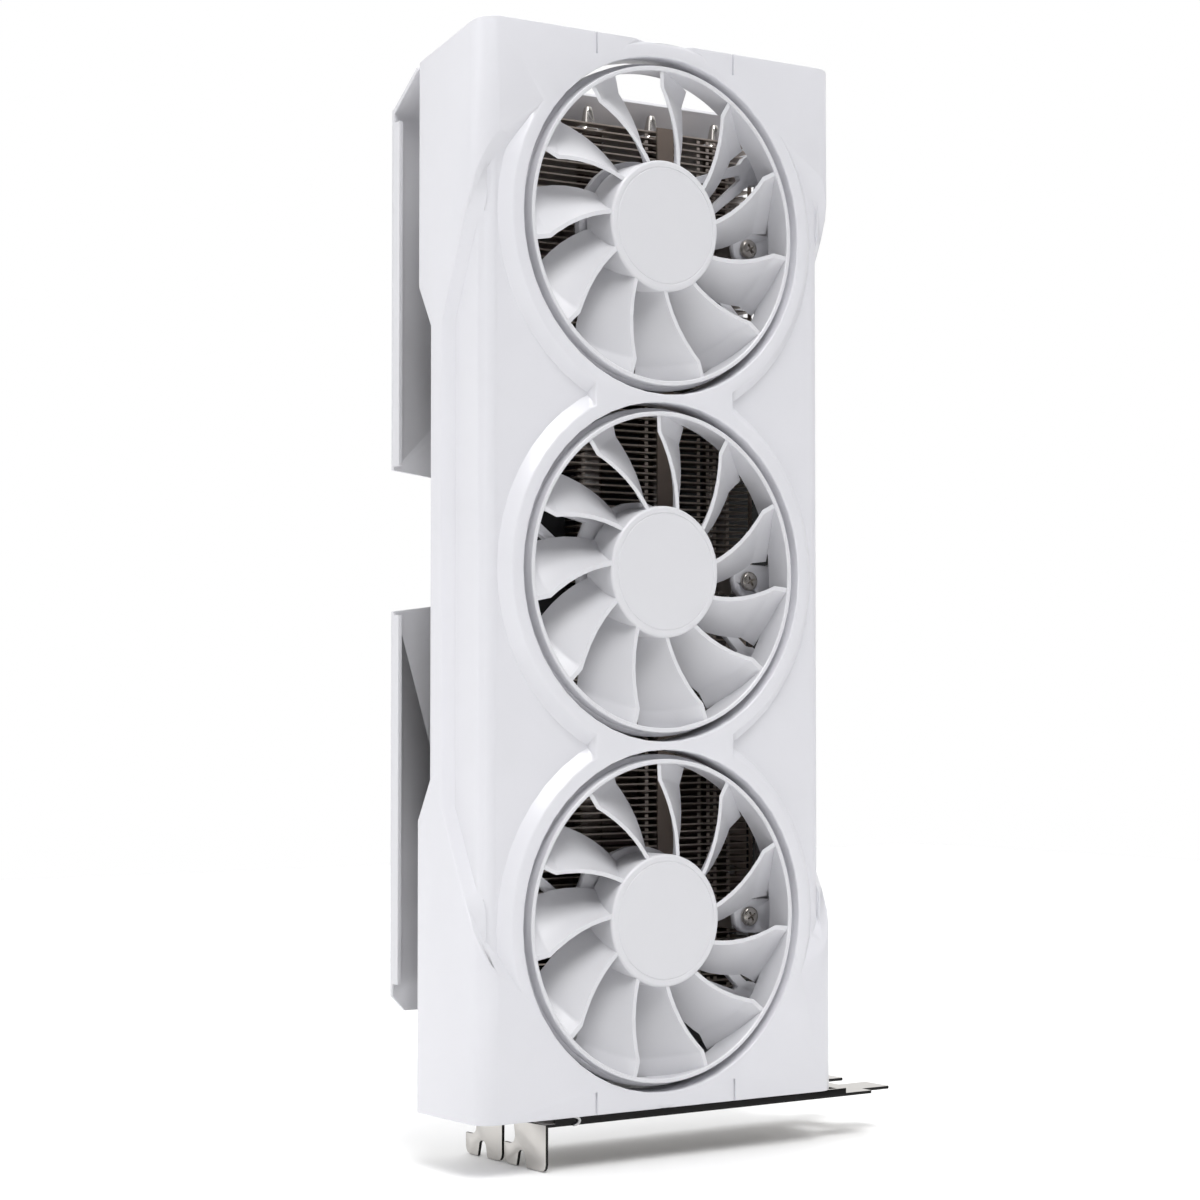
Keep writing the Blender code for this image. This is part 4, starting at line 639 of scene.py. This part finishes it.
# ---- fans -----------------------------------------------------------------------------------------
@dataclass
class Fan:
    """One fan: a ringed rotor with swept blades, and the frame behind it.

    Depths are counted from the rotor's front, and radii from its axis.
    """

    number: int
    axis: Vector
    turn: float = 0.0
    # the hub cap, with a fine round groove near its rim and a boss for the shaft
    hub: float = 0.0176
    hub_depth: float = 0.0115
    hub_wall: float = 0.0012
    hub_roof: float = 0.0016
    hub_rim: float = 0.0009
    rim_steps: int = 5
    hub_sides: int = 96
    groove_reach: Point = (0.0022, 0.0017)
    groove_slope: float = 0.0001
    groove_depth: float = 0.00012
    boss: float = 0.0034
    boss_depth: float = 0.0036
    boss_bore: float = 0.00155
    bore_start: float = 0.0017
    # the ring: a thin lip in front and a wider band behind it
    lip: float = 0.0428
    lip_width: float = 0.0012
    lip_bevel: float = 0.0003
    lip_edge: float = 0.0002
    lip_draft: float = 0.0001
    lip_depth: float = 0.0036
    ring: float = 0.044
    ring_start: float = 0.0046
    ring_depth: float = 0.0092
    ring_inset: float = 0.0006
    ring_step: float = 0.0050
    ring_sides: int = 144
    # the blades: their front edge leads up to the kink and then runs straight out
    blades: int = 11
    first_blade: float = 84.2
    sweep: float = 17.0
    kink: float = 0.80
    chord: float = 21.0
    chord_bend: float = 0.45
    blade_front: float = 0.0005
    blade_rear: float = 0.0105
    blade_root: float = 0.0006
    blade_tip: float = 0.0004
    thick: float = 0.0012
    taper: float = 0.18
    stations: tuple[float, ...] = (0.0, 0.04, 0.12, 0.25, 0.4, 0.55, 0.7, 0.78, 0.80, 0.82, 0.9, 1.0)
    steps: int = 8
    shade_angle: float = 38.0
    frame_rounding: float = 0.00012

    @property
    def body(self) -> str:
        """The CAD body that turns."""
        return f"fan_{self.number}"

    def blade_rows(self, angle: float) -> list[list[Corner]]:
        """One blade's cross-sections from root to tip.

        Args:
            angle: Where the front edge meets the ring, in degrees, counted from +X towards +Z.

        Returns:
            Closed rows of points round the blade at each station.
        """
        root = self.hub - self.blade_root
        tip = self.lip - self.blade_tip
        rows = []
        for share in self.stations:
            radius = root + (tip - root) * share
            lead = self.sweep * min(share / self.kink, 1.0)
            sides: tuple[list[Corner], list[Corner]] = ([], [])
            for step in range(self.steps + 1):
                along = step / self.steps
                depth = self.blade_front + (self.blade_rear - self.blade_front) * along
                curve = (1 - self.chord_bend) * along + self.chord_bend * along * along
                turn = angle - self.sweep + lead - self.chord * curve
                half = math.degrees(self.thick * (0.5 - self.taper * along) / radius)
                for side, row in ((1, sides[0]), (-1, sides[1])):
                    at = math.radians(turn + side * half) + self.turn
                    place = (radius * math.cos(at), depth, radius * math.sin(at))
                    row.append(tuple(Vector(place) + self.axis))
            rows.append(sides[0] + sides[1][::-1])
        return rows

    def cap_profile(self) -> list[Point]:
        """Draw the hub cap's profile.

        Returns:
            The (radius, depth) points of the closed profile.
        """
        inside = self.hub - self.hub_wall
        outer, inner = (self.hub - reach for reach in self.groove_reach)
        profile = [(0.0, 0.0), (outer, 0.0), (outer + self.groove_slope, self.groove_depth)]
        profile += [(inner - self.groove_slope, self.groove_depth), (inner, 0.0)]
        profile += arc((self.hub - self.hub_rim, self.hub_rim), self.hub_rim, -90, 0, self.rim_steps)
        profile += [(self.hub, self.hub_depth), (inside, self.hub_depth), (inside, self.hub_roof)]
        profile += [(self.boss, self.hub_roof), (self.boss, self.boss_depth)]
        profile += [(self.boss_bore, self.boss_depth), (self.boss_bore, self.bore_start)]
        return profile + [(0.0, self.bore_start)]

    def ring_profile(self) -> list[Point]:
        """Draw the ring's profile.

        Returns:
            The (radius, depth) points of the closed profile.
        """
        lip, edge, inner = self.lip, self.lip_edge, self.lip - self.ring_inset
        near = lip - self.lip_width
        profile = [(near, self.lip_bevel), (near + self.lip_bevel, 0.0), (lip - edge, 0.0), (lip, edge)]
        profile += [(lip + self.lip_draft, self.lip_depth), (self.ring, self.ring_start)]
        profile += [(self.ring, self.ring_depth - edge), (self.ring - edge, self.ring_depth)]
        return profile + [(inner, self.ring_depth), (inner, self.ring_step)]

    def rotor(self) -> bpy.types.Object:
        """Mould the hub cap, the blades and the ring in one.

        Returns:
            The rotor, as a new object.
        """
        work = Work()
        work.turned(self.cap_profile(), tuple(self.axis), self.hub_sides)
        work.turned(self.ring_profile(), tuple(self.axis), self.ring_sides)
        first = self.first_blade + self.sweep / 2
        for index in range(self.blades):
            work.loft(self.blade_rows(first + index * 360 / self.blades))
        piece = work.made(f"rotor_moulding_{self.number}")
        smoothed(piece, self.shade_angle)
        return piece

    def build(self) -> None:
        """Make the rotor and round the frame's edges."""
        dressed(self.rotor(), Paint.FAN_PBT.material, "fan_white", self.body, f"fan_rotor_{self.number}")
        spider = copied(f"fan_frame_{self.number}", f"fan_spider_{self.number}")
        softened(spider, self.frame_rounding)
        dressed(spider, Paint.FAN_PBT.material, "fan_white", CARD, f"fan_frame_{self.number}")


# ---- shroud ---------------------------------------------------------------------------------------
@dataclass
class Shroud:
    """The moulded front shell: its edges softened, with four fine grooves at its ends."""

    front: float = -0.0379
    low: float = 0.0026
    high: float = 0.2866
    collar: float = 0.04875
    first_fan: float = 0.0520
    last_fan: float = 0.2372
    groove_x: float = 0.0226
    groove_half: float = 0.0004
    groove_depth: float = 0.0006
    groove_stop: float = 0.0003
    rounding: float = 0.0004
    rounding_steps: int = 3

    def grooves(self, body: bpy.types.Object) -> None:
        """Cut the upright grooves between the end collars and the shell's ends.

        Args:
            body: The shell.
        """
        reach = math.sqrt(self.collar**2 - self.groove_x**2) + self.groove_stop
        spans = ((self.low - MM, self.first_fan - reach), (self.last_fan + reach, self.high + MM))
        tool = Work()
        for side in (-1, 1):
            middle = side * self.groove_x
            left, right = middle - self.groove_half, middle + self.groove_half
            for near, far in spans:
                tool.box((left, self.front - MM, near), (right, self.front + self.groove_depth, far))
        cut(body, tool.made("groove"))

    def build(self) -> None:
        """Make the shell."""
        body = copied("shroud", "shell_moulding")
        softened(body, self.rounding, segments=self.rounding_steps)
        self.grooves(body)
        dressed(body, Paint.SHROUD_ABS.material, "shroud_white", CARD, "shroud")


# ---- cooler ---------------------------------------------------------------------------------------
@dataclass
class Cooler:
    """Stacked fins with lock tabs, a plain strip, posts, and three pipes with drawn-out tips."""

    # the stack of fins, and the pocket on its left that leaves room for the power sockets
    left: float = -0.0442
    right: float = 0.0475
    front: float = -0.0145
    rear: float = -0.0055
    start: float = 0.0245
    end: float = 0.2686
    pitch: float = 0.0019
    thick: float = 0.00035
    pocket_left: float = -0.0125
    pocket_low: float = 0.1316
    pocket_high: float = 0.1740
    # each fin's front edge, bent over its sheet, which takes a painted highlight
    sheet_inset: float = 0.0001
    edge_depth: float = 0.00025
    edge_lap: float = 0.00003
    # the tabs that lock each fin to the next
    locks: tuple[float, ...] = (0.0104, 0.0283, 0.0315, 0.0339, 0.0385)
    lock_half: float = 0.0005
    lock_proud: float = 0.00025
    lock_height: float = 0.0008
    lock_rise: float = 0.0005
    # the plain strip and the bar at the right, in front of the fins
    strip_middle: float = 0.0165
    strip_half: float = 0.00275
    strip_front: float = 0.0008
    strip_rear: float = 0.0003
    strip_lap: float = 0.0005
    bar_reach: Point = (0.0016, 0.0004)
    # the posts that take the shell's screws
    post_half: float = 0.0035
    post_front: float = -0.0226
    post_inset: float = 0.0004
    post_rounding: float = 0.0003
    # the flattened pipes and the channels that the fins leave for them
    pipes: tuple[float, ...] = (-0.0045, 0.0169, 0.0391)
    pipe_radius: float = 0.0023
    pipe_half: float = 0.0043
    pipe_steps: int = 12
    channel_half: float = 0.0046
    channel_depth: float = 0.0049
    channel_room: float = 0.005
    # a pipe's heights from the first or the last fin, each with its share of the width and of the depth
    pipe_foot: tuple[Corner, ...] = ((-0.001, 0.9, 0.9), (-0.0005, 1.0, 1.0))
    pipe_neck: tuple[Corner, ...] = ((-0.0016, 1.0, 1.0), (-0.0004, 0.5, 0.84), (0.0, 0.42, 0.78))
    pipe_cone: tuple[Corner, ...] = ((0.0012, 0.4, 0.74), (0.004, 0.28, 0.52))
    pipe_tip: tuple[Corner, ...] = ((0.005, 0.23, 0.43), (0.0054, 0.15, 0.28))
    pipe_angle: float = 60.0

    def fin(self, left: float) -> bpy.types.Object:
        """One fin's sheet, lying at height zero, with a channel for each pipe.

        Args:
            left: The sheet's left edge.

        Returns:
            The sheet, as a new object.
        """
        front = self.front + self.sheet_inset
        outline = [(left, self.rear), (left, front), (self.right, front), (self.right, self.rear)]
        for centre in reversed([pipe for pipe in self.pipes if pipe - self.channel_room > left]):
            half, top = self.channel_half, self.rear - self.channel_depth
            outline += [(centre + half, self.rear), (centre + half, top), (centre - half, top)]
            outline.append((centre - half, self.rear))
        return Work().prism(outline, 0.0, self.thick).made("fin_source")

    def edge(self, left: float) -> bpy.types.Object:
        """One fin's front edge, lapping its sheet, painted bright as a highlight.

        Args:
            left: The edge's left end.

        Returns:
            The edge, as a new object.
        """
        low = (left, self.front, -self.edge_lap)
        high = (self.right, self.front + self.edge_depth, self.thick + self.edge_lap)
        return Work().box(low, high).made("edge")

    def levels(self) -> list[float]:
        """The height of every fin."""
        count = int((self.end - self.start) / self.pitch)
        return [self.start + index * self.pitch for index in range(count + 1)]

    def fins(self) -> None:
        """The fins, their front edges and the lock tabs between them, the edges and tabs painted bright as a
        highlight.
        """
        levels = self.levels()
        beside = [z for z in levels if self.pocket_low - self.thick < z < self.pocket_high]
        whole = [z for z in levels if z not in beside]
        runs = (("fins_full", self.left, whole), ("fins_short", self.pocket_left, beside))
        for name, left, heights in runs:
            points = [(0.0, 0.0, z) for z in heights]
            sheet, edge = self.fin(left), self.edge(left)
            repeated(f"{name}_sheets", Paint.FIN_NICKEL, points, sheet, "fin_metal", ["fin_stack"])
            # the edges take a painted highlight, brighter than the sheets
            repeated(f"{name}_edges", Paint.FIN_EDGE_HIGHLIGHT, points, edge, "fin_metal", ["fin_stack"])
        low = (-self.lock_half, self.front - self.lock_proud, 0.0)
        lock = Work().box(low, (self.lock_half, self.front, self.lock_height)).made("lock")
        spots = [(x, 0.0, z + self.lock_rise) for x in self.locks for z in levels[:-1]]
        # the lock tabs take the same painted highlight
        repeated("lock_tabs", Paint.FIN_EDGE_HIGHLIGHT, spots, lock, "fin_metal", ["fin_stack"])

    def strip(self) -> None:
        """The plain strip and the side bar."""
        low, high = self.start - self.strip_lap, self.end + self.strip_lap
        middle, half, rear = self.strip_middle, self.strip_half, self.front - self.strip_rear
        far, near = (self.right - reach for reach in self.bar_reach)
        work = Work().box((middle - half, self.front - self.strip_front, low), (middle + half, rear, high))
        work.box((far, rear, low), (near, self.front, high))
        dressed(work.made("fin_strip"), Paint.FIN_NICKEL.material, "fin_metal", CARD, "fin_stack")

    def posts(self) -> None:
        """The posts that the shell's screws go into."""
        work, half = Work(), self.post_half
        for number in (1, 2, 3):
            low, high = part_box(f"shroud_screw_{number}")
            x, z = (low[0] + high[0]) / 2, (low[2] + high[2]) / 2
            rear = self.front - self.post_inset
            work.box((x - half, self.post_front, z - half), (x + half, rear, z + half))
        made = work.made("cooler_posts")
        softened(made, self.post_rounding)
        dressed(made, Paint.SHELL_TIN.material, "fin_metal", CARD, "fin_stack")

    def pipe(self, number: int, centre: float) -> None:
        """One flattened pipe with a tip drawn out in a smooth cone.

        Args:
            number: The pipe's number in the CAD.
            centre: Its place across the card.
        """
        radius, reach = self.pipe_radius, self.pipe_half - self.pipe_radius
        middle = self.rear - radius
        outline = arc((centre + reach, middle), radius, -90, 90, self.pipe_steps)
        outline += arc((centre - reach, middle), radius, 90, 270, self.pipe_steps)
        stations = [(self.start + rise, wide, deep) for rise, wide, deep in self.pipe_foot]
        upper = self.pipe_neck + self.pipe_cone + self.pipe_tip
        stations += [(self.end + rise, wide, deep) for rise, wide, deep in upper]
        rows = [
            [(centre + (x - centre) * wide, middle + (y - middle) * deep, height) for x, y in outline]
            for height, wide, deep in stations
        ]
        made = Work().loft(rows).made(f"pipe_{number}")
        smoothed(made, self.pipe_angle)
        dressed(made, Paint.PIPE_NICKEL.material, "nickel", CARD, f"heat_pipe_{number}")

    def build(self) -> None:
        """Make the cooler."""
        self.fins()
        self.strip()
        self.posts()
        for number, centre in enumerate(self.pipes, start=1):
            self.pipe(number, centre)


# ---- board and connectors -------------------------------------------------------------------------
@dataclass
class Board:
    """What stands on the circuit board: gold contacts, capacitors, sockets and pins."""

    # the edge contacts: two runs on both faces, with the key between them
    pad_ends: Point = (0.0718, 0.0763)
    pad_fronts: Point = (-0.00006, 0.00158)
    pad_thick: float = 0.00005
    pad_half: float = 0.00035
    pad_pitch: float = 0.001
    pad_runs: tuple[tuple[float, int], ...] = ((0.0450, 11), (0.0586, 71))
    # the capacitors' profile of (radius, depth) points
    can_profile: tuple[Point, ...] = (
        (0.0, -0.0052),
        (0.0019, -0.0052),
        (0.0022, -0.0050),
        (0.00225, -0.0006),
        (0.0022, -0.0004),
        (0.0, -0.0004),
    )
    can_sides: int = 32
    # their rows: place across the card, first height, pitch and count
    can_rows: tuple[tuple[float, float, float, int], ...] = (
        (0.0642, 0.063, 0.0085, 7),
        (-0.030, 0.030, 0.0075, 5),
    )
    # the power sockets: two rows of four holes each
    sockets: tuple[float, ...] = (0.1432, 0.1624)
    hole_pitch: float = 0.0042
    wall_mouth: float = -0.0349
    wall_floor: float = -0.0234
    wall_half: float = 0.0003
    shelf_depth: Point = (-0.0060, -0.0054)
    shelf_half: float = 0.0082
    divider_depth: Point = (-0.0098, -0.0016)
    pin_mouth: float = -0.0338
    pin_half: float = 0.0004
    pin_depths: Point = (-0.0078, -0.0036)
    # the display sockets' tongues
    displays: tuple[float, ...] = (-0.01025, 0.01025, 0.03075, 0.05125)
    tongue_low: Corner = (-0.0062, -0.0047, 0.0006)
    tongue_high: Corner = (0.0062, -0.0037, 0.0108)

    def contacts(self) -> None:
        """Both faces' gold pads on the keyed edge."""
        pads, half = Work(), self.pad_half
        left, right = self.pad_ends
        for front in self.pad_fronts:
            pads.box((left, front, -half), (right, front + self.pad_thick, half))
        levels = [z + index * self.pad_pitch for z, count in self.pad_runs for index in range(count)]
        spots = [(0.0, 0.0, z) for z in levels]
        repeated("edge_pads", Paint.GOLD_PLATE, spots, pads.made("pad"), "nickel")

    def cans(self) -> None:
        """Two rows of round capacitors beside the inductors and at the far end."""
        can = Work().turned(self.can_profile, (0.0, 0.0, 0.0), self.can_sides).made("can")
        spots = [
            (x, 0.0, z + index * pitch)
            for x, z, pitch, count in self.can_rows
            for index in range(count)
        ]
        repeated("capacitors", Paint.CAN_TIN, spots, can, "nickel")

    def grids(self) -> None:
        """The dividing walls and pins inside the two power connectors."""
        walls, mouth, floor = Work(), self.wall_mouth, self.wall_floor
        for middle in self.sockets:
            front, rear = self.shelf_depth
            walls.box((mouth, front, middle - self.shelf_half), (floor, rear, middle + self.shelf_half))
            front, rear = self.divider_depth
            for index in (-1, 0, 1):
                z = middle + index * self.hole_pitch
                walls.box((mouth, front, z - self.wall_half), (floor, rear, z + self.wall_half))
        dressed(walls.made("socket_walls"), Paint.NYLON.material, "black_plastic", CARD)
        low = (self.pin_mouth, -self.pin_half, -self.pin_half)
        pin = Work().box(low, (floor, self.pin_half, self.pin_half)).made("pin")
        spots = [
            (0.0, depth, middle + (index - 1.5) * self.hole_pitch)
            for middle in self.sockets
            for depth in self.pin_depths
            for index in range(4)
        ]
        repeated("power_pins", Paint.SHELL_TIN, spots, pin, "nickel")

    def tongues(self) -> None:
        """The contact tongues inside the display sockets."""
        tongue = Work().box(self.tongue_low, self.tongue_high).made("tongue")
        spots = [(x, 0.0, 0.0) for x in self.displays]
        repeated("socket_tongues", Paint.NYLON, spots, tongue, "black_plastic")

    def build(self) -> None:
        """Dress the board."""
        self.contacts()
        self.cans()
        self.grids()
        self.tongues()


# ---- sheet metal ----------------------------------------------------------------------------------
@dataclass
class Metalwork:
    """The slot bracket and the backplate, with softened edges."""

    bracket_rounding: float = 0.00018
    plate_rounding: float = 0.00015
    flange_start: float = -0.0002  # a face of the bracket that lies lower is on its flange
    flatness: float = 0.75  # a face whose normal follows the sheet's by more than this isn't an edge, and escapes the painted shade
    # the curled tab: a half ring, wider across the card than it is high
    curl_x: float = -0.0275
    curl_z: float = 0.0012
    curl_depth: Point = (-0.0350, -0.0336)
    curl_radius: float = 0.0013
    curl_stretch: float = 1.6
    curl_inside: float = 0.62
    curl_step: int = 15
    curl_angle: float = 40.0

    def bracket(self) -> None:
        """The nickel bracket, with painted shade on its sheared edges."""
        made = copied("slot_bracket", "bracket_plate")
        softened(made, self.bracket_rounding)
        made.data.materials.append(Paint.BRACKET_NICKEL.material)
        # the second material paints the faces across the sheet's thickness near black, as painted shade
        made.data.materials.append(Paint.BRACKET_EDGE_SHADE.material)
        for face in made.data.polygons:
            on_flange = face.center.z < self.flange_start
            along = abs(face.normal.x) if on_flange else abs(face.normal.z)
            face.material_index = 0 if along > self.flatness else 1
        dressed(made, Paint.BRACKET_NICKEL.material, "bracket_steel", CARD, "slot_bracket")

    def curl(self) -> None:
        """The small curled tab by the bracket's flange."""
        rows = []
        front, rear = self.curl_depth
        for turn in range(0, 181, self.curl_step):
            angle = math.radians(turn - 90)
            across = self.curl_radius * math.cos(angle) * self.curl_stretch
            up = self.curl_radius * math.sin(angle)
            x, z = self.curl_x + across, self.curl_z + up
            inner_x, inner_z = self.curl_x + across * self.curl_inside, self.curl_z + up * self.curl_inside
            rows.append([(x, front, z), (x, rear, z), (inner_x, rear, inner_z), (inner_x, front, inner_z)])
        made = Work().loft(rows).made("bracket_curl")
        smoothed(made, self.curl_angle)
        dressed(made, Paint.SHELL_TIN.material, "bracket_steel", CARD)

    def backplate(self) -> None:
        """The powder-coated rear plate."""
        made = copied("backplate", "rear_plate")
        softened(made, self.plate_rounding)
        dressed(made, Paint.POWDER_COAT.material, "backplate_white", CARD, "backplate")

    def build(self) -> None:
        """Make the sheet pieces."""
        self.bracket()
        self.curl()
        self.backplate()


# ---- screws and wiring ----------------------------------------------------------------------------
class Facing(Enum):
    """Which way a screw's head looks, and the turn that brings its head from +Z to there."""

    FRONT = math.pi / 2
    REAR = -math.pi / 2


@dataclass
class Screws:
    """Cross-head screws, each group one pattern over the CAD screws it stands for."""

    head: float = 0.00265
    height: float = 0.0015
    shank: float = 0.0013
    seat_bevel: Point = (0.0001, 0.0002)
    # the crown's (radius, height) points, as shares of the head's
    crown: tuple[Point, ...] = ((1.0, 0.5), (0.96, 0.75), (0.85, 0.93), (0.7, 1.0), (0.0, 1.0))
    head_sides: int = 48
    recess_half: float = 0.0003
    recess_reach: float = 0.0014
    recess_floor: float = 0.35
    recess_turn: float = 0.5

    def source(self) -> bpy.types.Object:
        """Turn a pan head and cut its cross recess.

        Returns:
            The head, as a new object that looks along +Z with its seat at height zero.
        """
        inset, rise = self.seat_bevel
        profile = [(0.0, 0.0), (self.head - inset, 0.0), (self.head, rise)]
        profile += [(self.head * wide, self.height * high) for wide, high in self.crown]
        head = Work().turned(profile, (0.0, 0.0, 0.0), self.head_sides).made("head")
        half, reach, floor = self.recess_half, self.recess_reach, self.height * self.recess_floor
        for turn in (0.0, math.pi / 2):
            slot = Work().box((-half, floor, -reach), (half, self.height + MM, reach)).made("slot")
            slot.data.transform(Matrix.Rotation(turn + self.recess_turn, 4, "Y"))
            cut(head, slot)
        head.data.transform(Matrix.Rotation(math.pi / 2, 4, "X"))
        return head

    def group(self, name: str, nodes: list[str], facing: Facing, paint: Paint) -> None:
        """Put screws over the boxes of some CAD screws of one length.

        Args:
            name: The new piece's name.
            nodes: The CAD screws that it stands for.
            facing: Which way the heads look.
            paint: Their finish.
        """
        spots = []
        for node in nodes:
            low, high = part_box(node)
            seat = low[1] + self.height if facing is Facing.FRONT else high[1] - self.height
            spots.append(((low[0] + high[0]) / 2, seat, (low[2] + high[2]) / 2))
        length = high[1] - low[1] - self.height
        sizes = {"shank_radius": self.shank, "shank_length": length}
        turn = (facing.value, 0.0, 0.0)
        repeated(name, paint, spots, self.source(), "steel", nodes, turn, **sizes)

    def build(self) -> None:
        """Make the five groups."""
        zinc, white = Paint.SCREW_ZINC, Paint.POWDER_COAT
        self.group("shell_screws", [f"shroud_screw_{n}" for n in (1, 2, 3)], Facing.FRONT, zinc)
        fans = [f"fan_screw_{fan}_{n}" for fan in (1, 2, 3) for n in (1, 2)]
        self.group("frame_screws", fans, Facing.REAR, zinc)
        self.group("retainer_screws", [f"spring_screw_{n}" for n in (1, 2, 3, 4)], Facing.REAR, zinc)
        self.group("plate_screws", [f"backplate_screw_{n}" for n in (1, 2, 3, 4)], Facing.REAR, white)
        self.group("slot_screws", [f"bracket_screw_{n}" for n in (1, 2)], Facing.FRONT, zinc)


@dataclass
class Wiring:
    """The fan leads, each smoothed along its fixed way."""

    smoothing: int = 2

    def build(self) -> None:
        """Make the leads."""
        for number in (1, 2, 3):
            lead = copied(f"fan_lead_{number}", f"lead_{number}")
            smooth = lead.modifiers.new("Smooth", "SUBSURF")
            smooth.levels = smooth.render_levels = self.smoothing
            baked(lead)
            lead.data.shade_smooth()
            dressed(lead, Paint.WIRE_PVC.material, "lead_black", CARD, f"fan_lead_{number}")


def dress_inner_nodes() -> None:
    """Give the pieces that keep their CAD mesh the finish of their material."""
    paints = {
        "fan_shaft_": Paint.SCREW_ZINC,
        "magnet_ring_": Paint.FERRITE,
        "bearing_sleeve_": Paint.SINTERED_BRONZE,
        "stator_": Paint.BARE_COPPER,
        "fan_header": Paint.NYLON,
        "cooler_base": Paint.FIN_NICKEL,
        "graphics_chip": Paint.CHIP_LAMINATE,
        "chip_retainer": Paint.OXIDE_STEEL,
        "circuit_board": Paint.SOLDER_MASK,
        "power_connector_": Paint.NYLON,
        "display_connector_": Paint.SHELL_TIN,
        "choke_row": Paint.FERRITE,
    }
    for name, node in frame["nodes"].items():
        for start, paint in paints.items():
            if name.startswith(start):
                node.material_slots[0].material = paint.material
                log.info("%s: finish %s", name, paint.value.name)


# ---- studio ---------------------------------------------------------------------------------------
@dataclass(frozen=True)
class SoftBox:
    """A square area light that faces the card's middle."""

    name: str
    place: Corner
    power: float
    size: float
    target: Corner = (0.0, 0.0, 0.14)

    def hang(self) -> None:
        """Put the light in the scene."""
        data = bpy.data.lights.new(self.name, "AREA")
        data.energy = self.power
        data.size = self.size
        made = placed(self.name, data)
        made.location = self.place
        facing = Vector(self.place) - Vector(self.target)
        made.rotation_euler = facing.to_track_quat("Z", "Y").to_euler()


@dataclass
class Studio:
    """Pale floor, soft lights and the camera."""

    eye: Corner = (-0.4356, -0.6313, 0.1119)
    azimuth: float = -34.913
    elevation: float = -1.958
    lens: float = 83.0
    sensor: float = 36.0
    nearest: float = 0.01
    floor_size: float = 2.2
    floor_thick: float = 0.01
    floor_gap: float = 0.0001
    key: SoftBox = SoftBox("key", (-0.3, -0.9, 1.55), 19.0, 0.8)
    side: SoftBox = SoftBox("side", (-1.6, -0.1, 0.9), 1.5, 0.8)
    top: SoftBox = SoftBox("top", (0.3, 0.9, 1.9), 9.0, 1.5)
    # the surroundings' strength rises from the fans' side to the far side, and with height
    sky_height: float = 0.7
    sky_span: Point = (-0.3, 0.35)
    sky_strength: Point = (0.12, 1.0)

    def camera(self) -> None:
        """Place the camera and make it the scene's."""
        a, e = math.radians(self.azimuth), math.radians(self.elevation)
        back = Vector((math.sin(a) * math.cos(e), -math.cos(a) * math.cos(e), math.sin(e)))
        data = bpy.data.cameras.new("camera")
        data.lens = self.lens
        data.sensor_width = self.sensor
        data.clip_start = self.nearest
        made = placed("camera", data)
        made.rotation_mode = "QUATERNION"
        made.rotation_quaternion = back.to_track_quat("Z", "Y")
        made.location = self.eye
        bpy.context.scene.camera = made

    def floor(self) -> None:
        """Lay the floor just under the card."""
        half, high = self.floor_size / 2, CAD_BOUNDS[0].z - self.floor_gap
        low = CAD_BOUNDS[0].z - self.floor_thick
        floor = Work().box((-half, -half, low), (half, half, high)).made("floor")
        floor.data.materials.append(Paint.FLOOR.material)

    def sky(self) -> None:
        """Surround the card with soft white light, dimmer in front of the fans."""
        world = bpy.data.worlds.new("studio")
        world.use_nodes = True
        tree = world.node_tree
        shader = tree.nodes["Background"]
        shader.inputs["Color"].default_value = linear("#FFFFFF")
        place = add_node(tree, "ShaderNodeTexCoord").outputs["Generated"]
        way = add_node(tree, "ShaderNodeSeparateXYZ", {0: place})
        lift = {0: way.outputs["Z"], 1: self.sky_height, 2: way.outputs["Y"]}
        height = add_node(tree, "ShaderNodeMath", lift, operation="MULTIPLY_ADD")
        fall = {"Value": height.outputs[0], "From Min": self.sky_span[0], "From Max": self.sky_span[1]}
        fall |= {"To Min": self.sky_strength[0], "To Max": self.sky_strength[1]}
        glow = add_node(tree, "ShaderNodeMapRange", fall)
        tree.links.new(glow.outputs[0], shader.inputs["Strength"])
        bpy.context.scene.world = world

    def build(self) -> None:
        """Make the floor, the surroundings, the lights and the camera."""
        self.floor()
        self.sky()
        for box in (self.key, self.side, self.top):
            box.hang()
        bpy.context.scene.view_settings.view_transform = "Standard"
        self.camera()


def main() -> None:
    """Build every sub-assembly in order."""
    logging.basicConfig(level=logging.INFO, format="%(message)s")
    Studio().build()
    dress_inner_nodes()
    for assembly in (Shroud(), Cooler(), Board(), Metalwork(), Screws(), Wiring()):
        assembly.build()
    for number, (joint, turn) in enumerate(zip(frame["joints"], FAN_TURNS), start=1):
        Fan(number, Vector(joint["pos_m"]), math.radians(turn)).build()


if __name__ == "__main__":
    main()
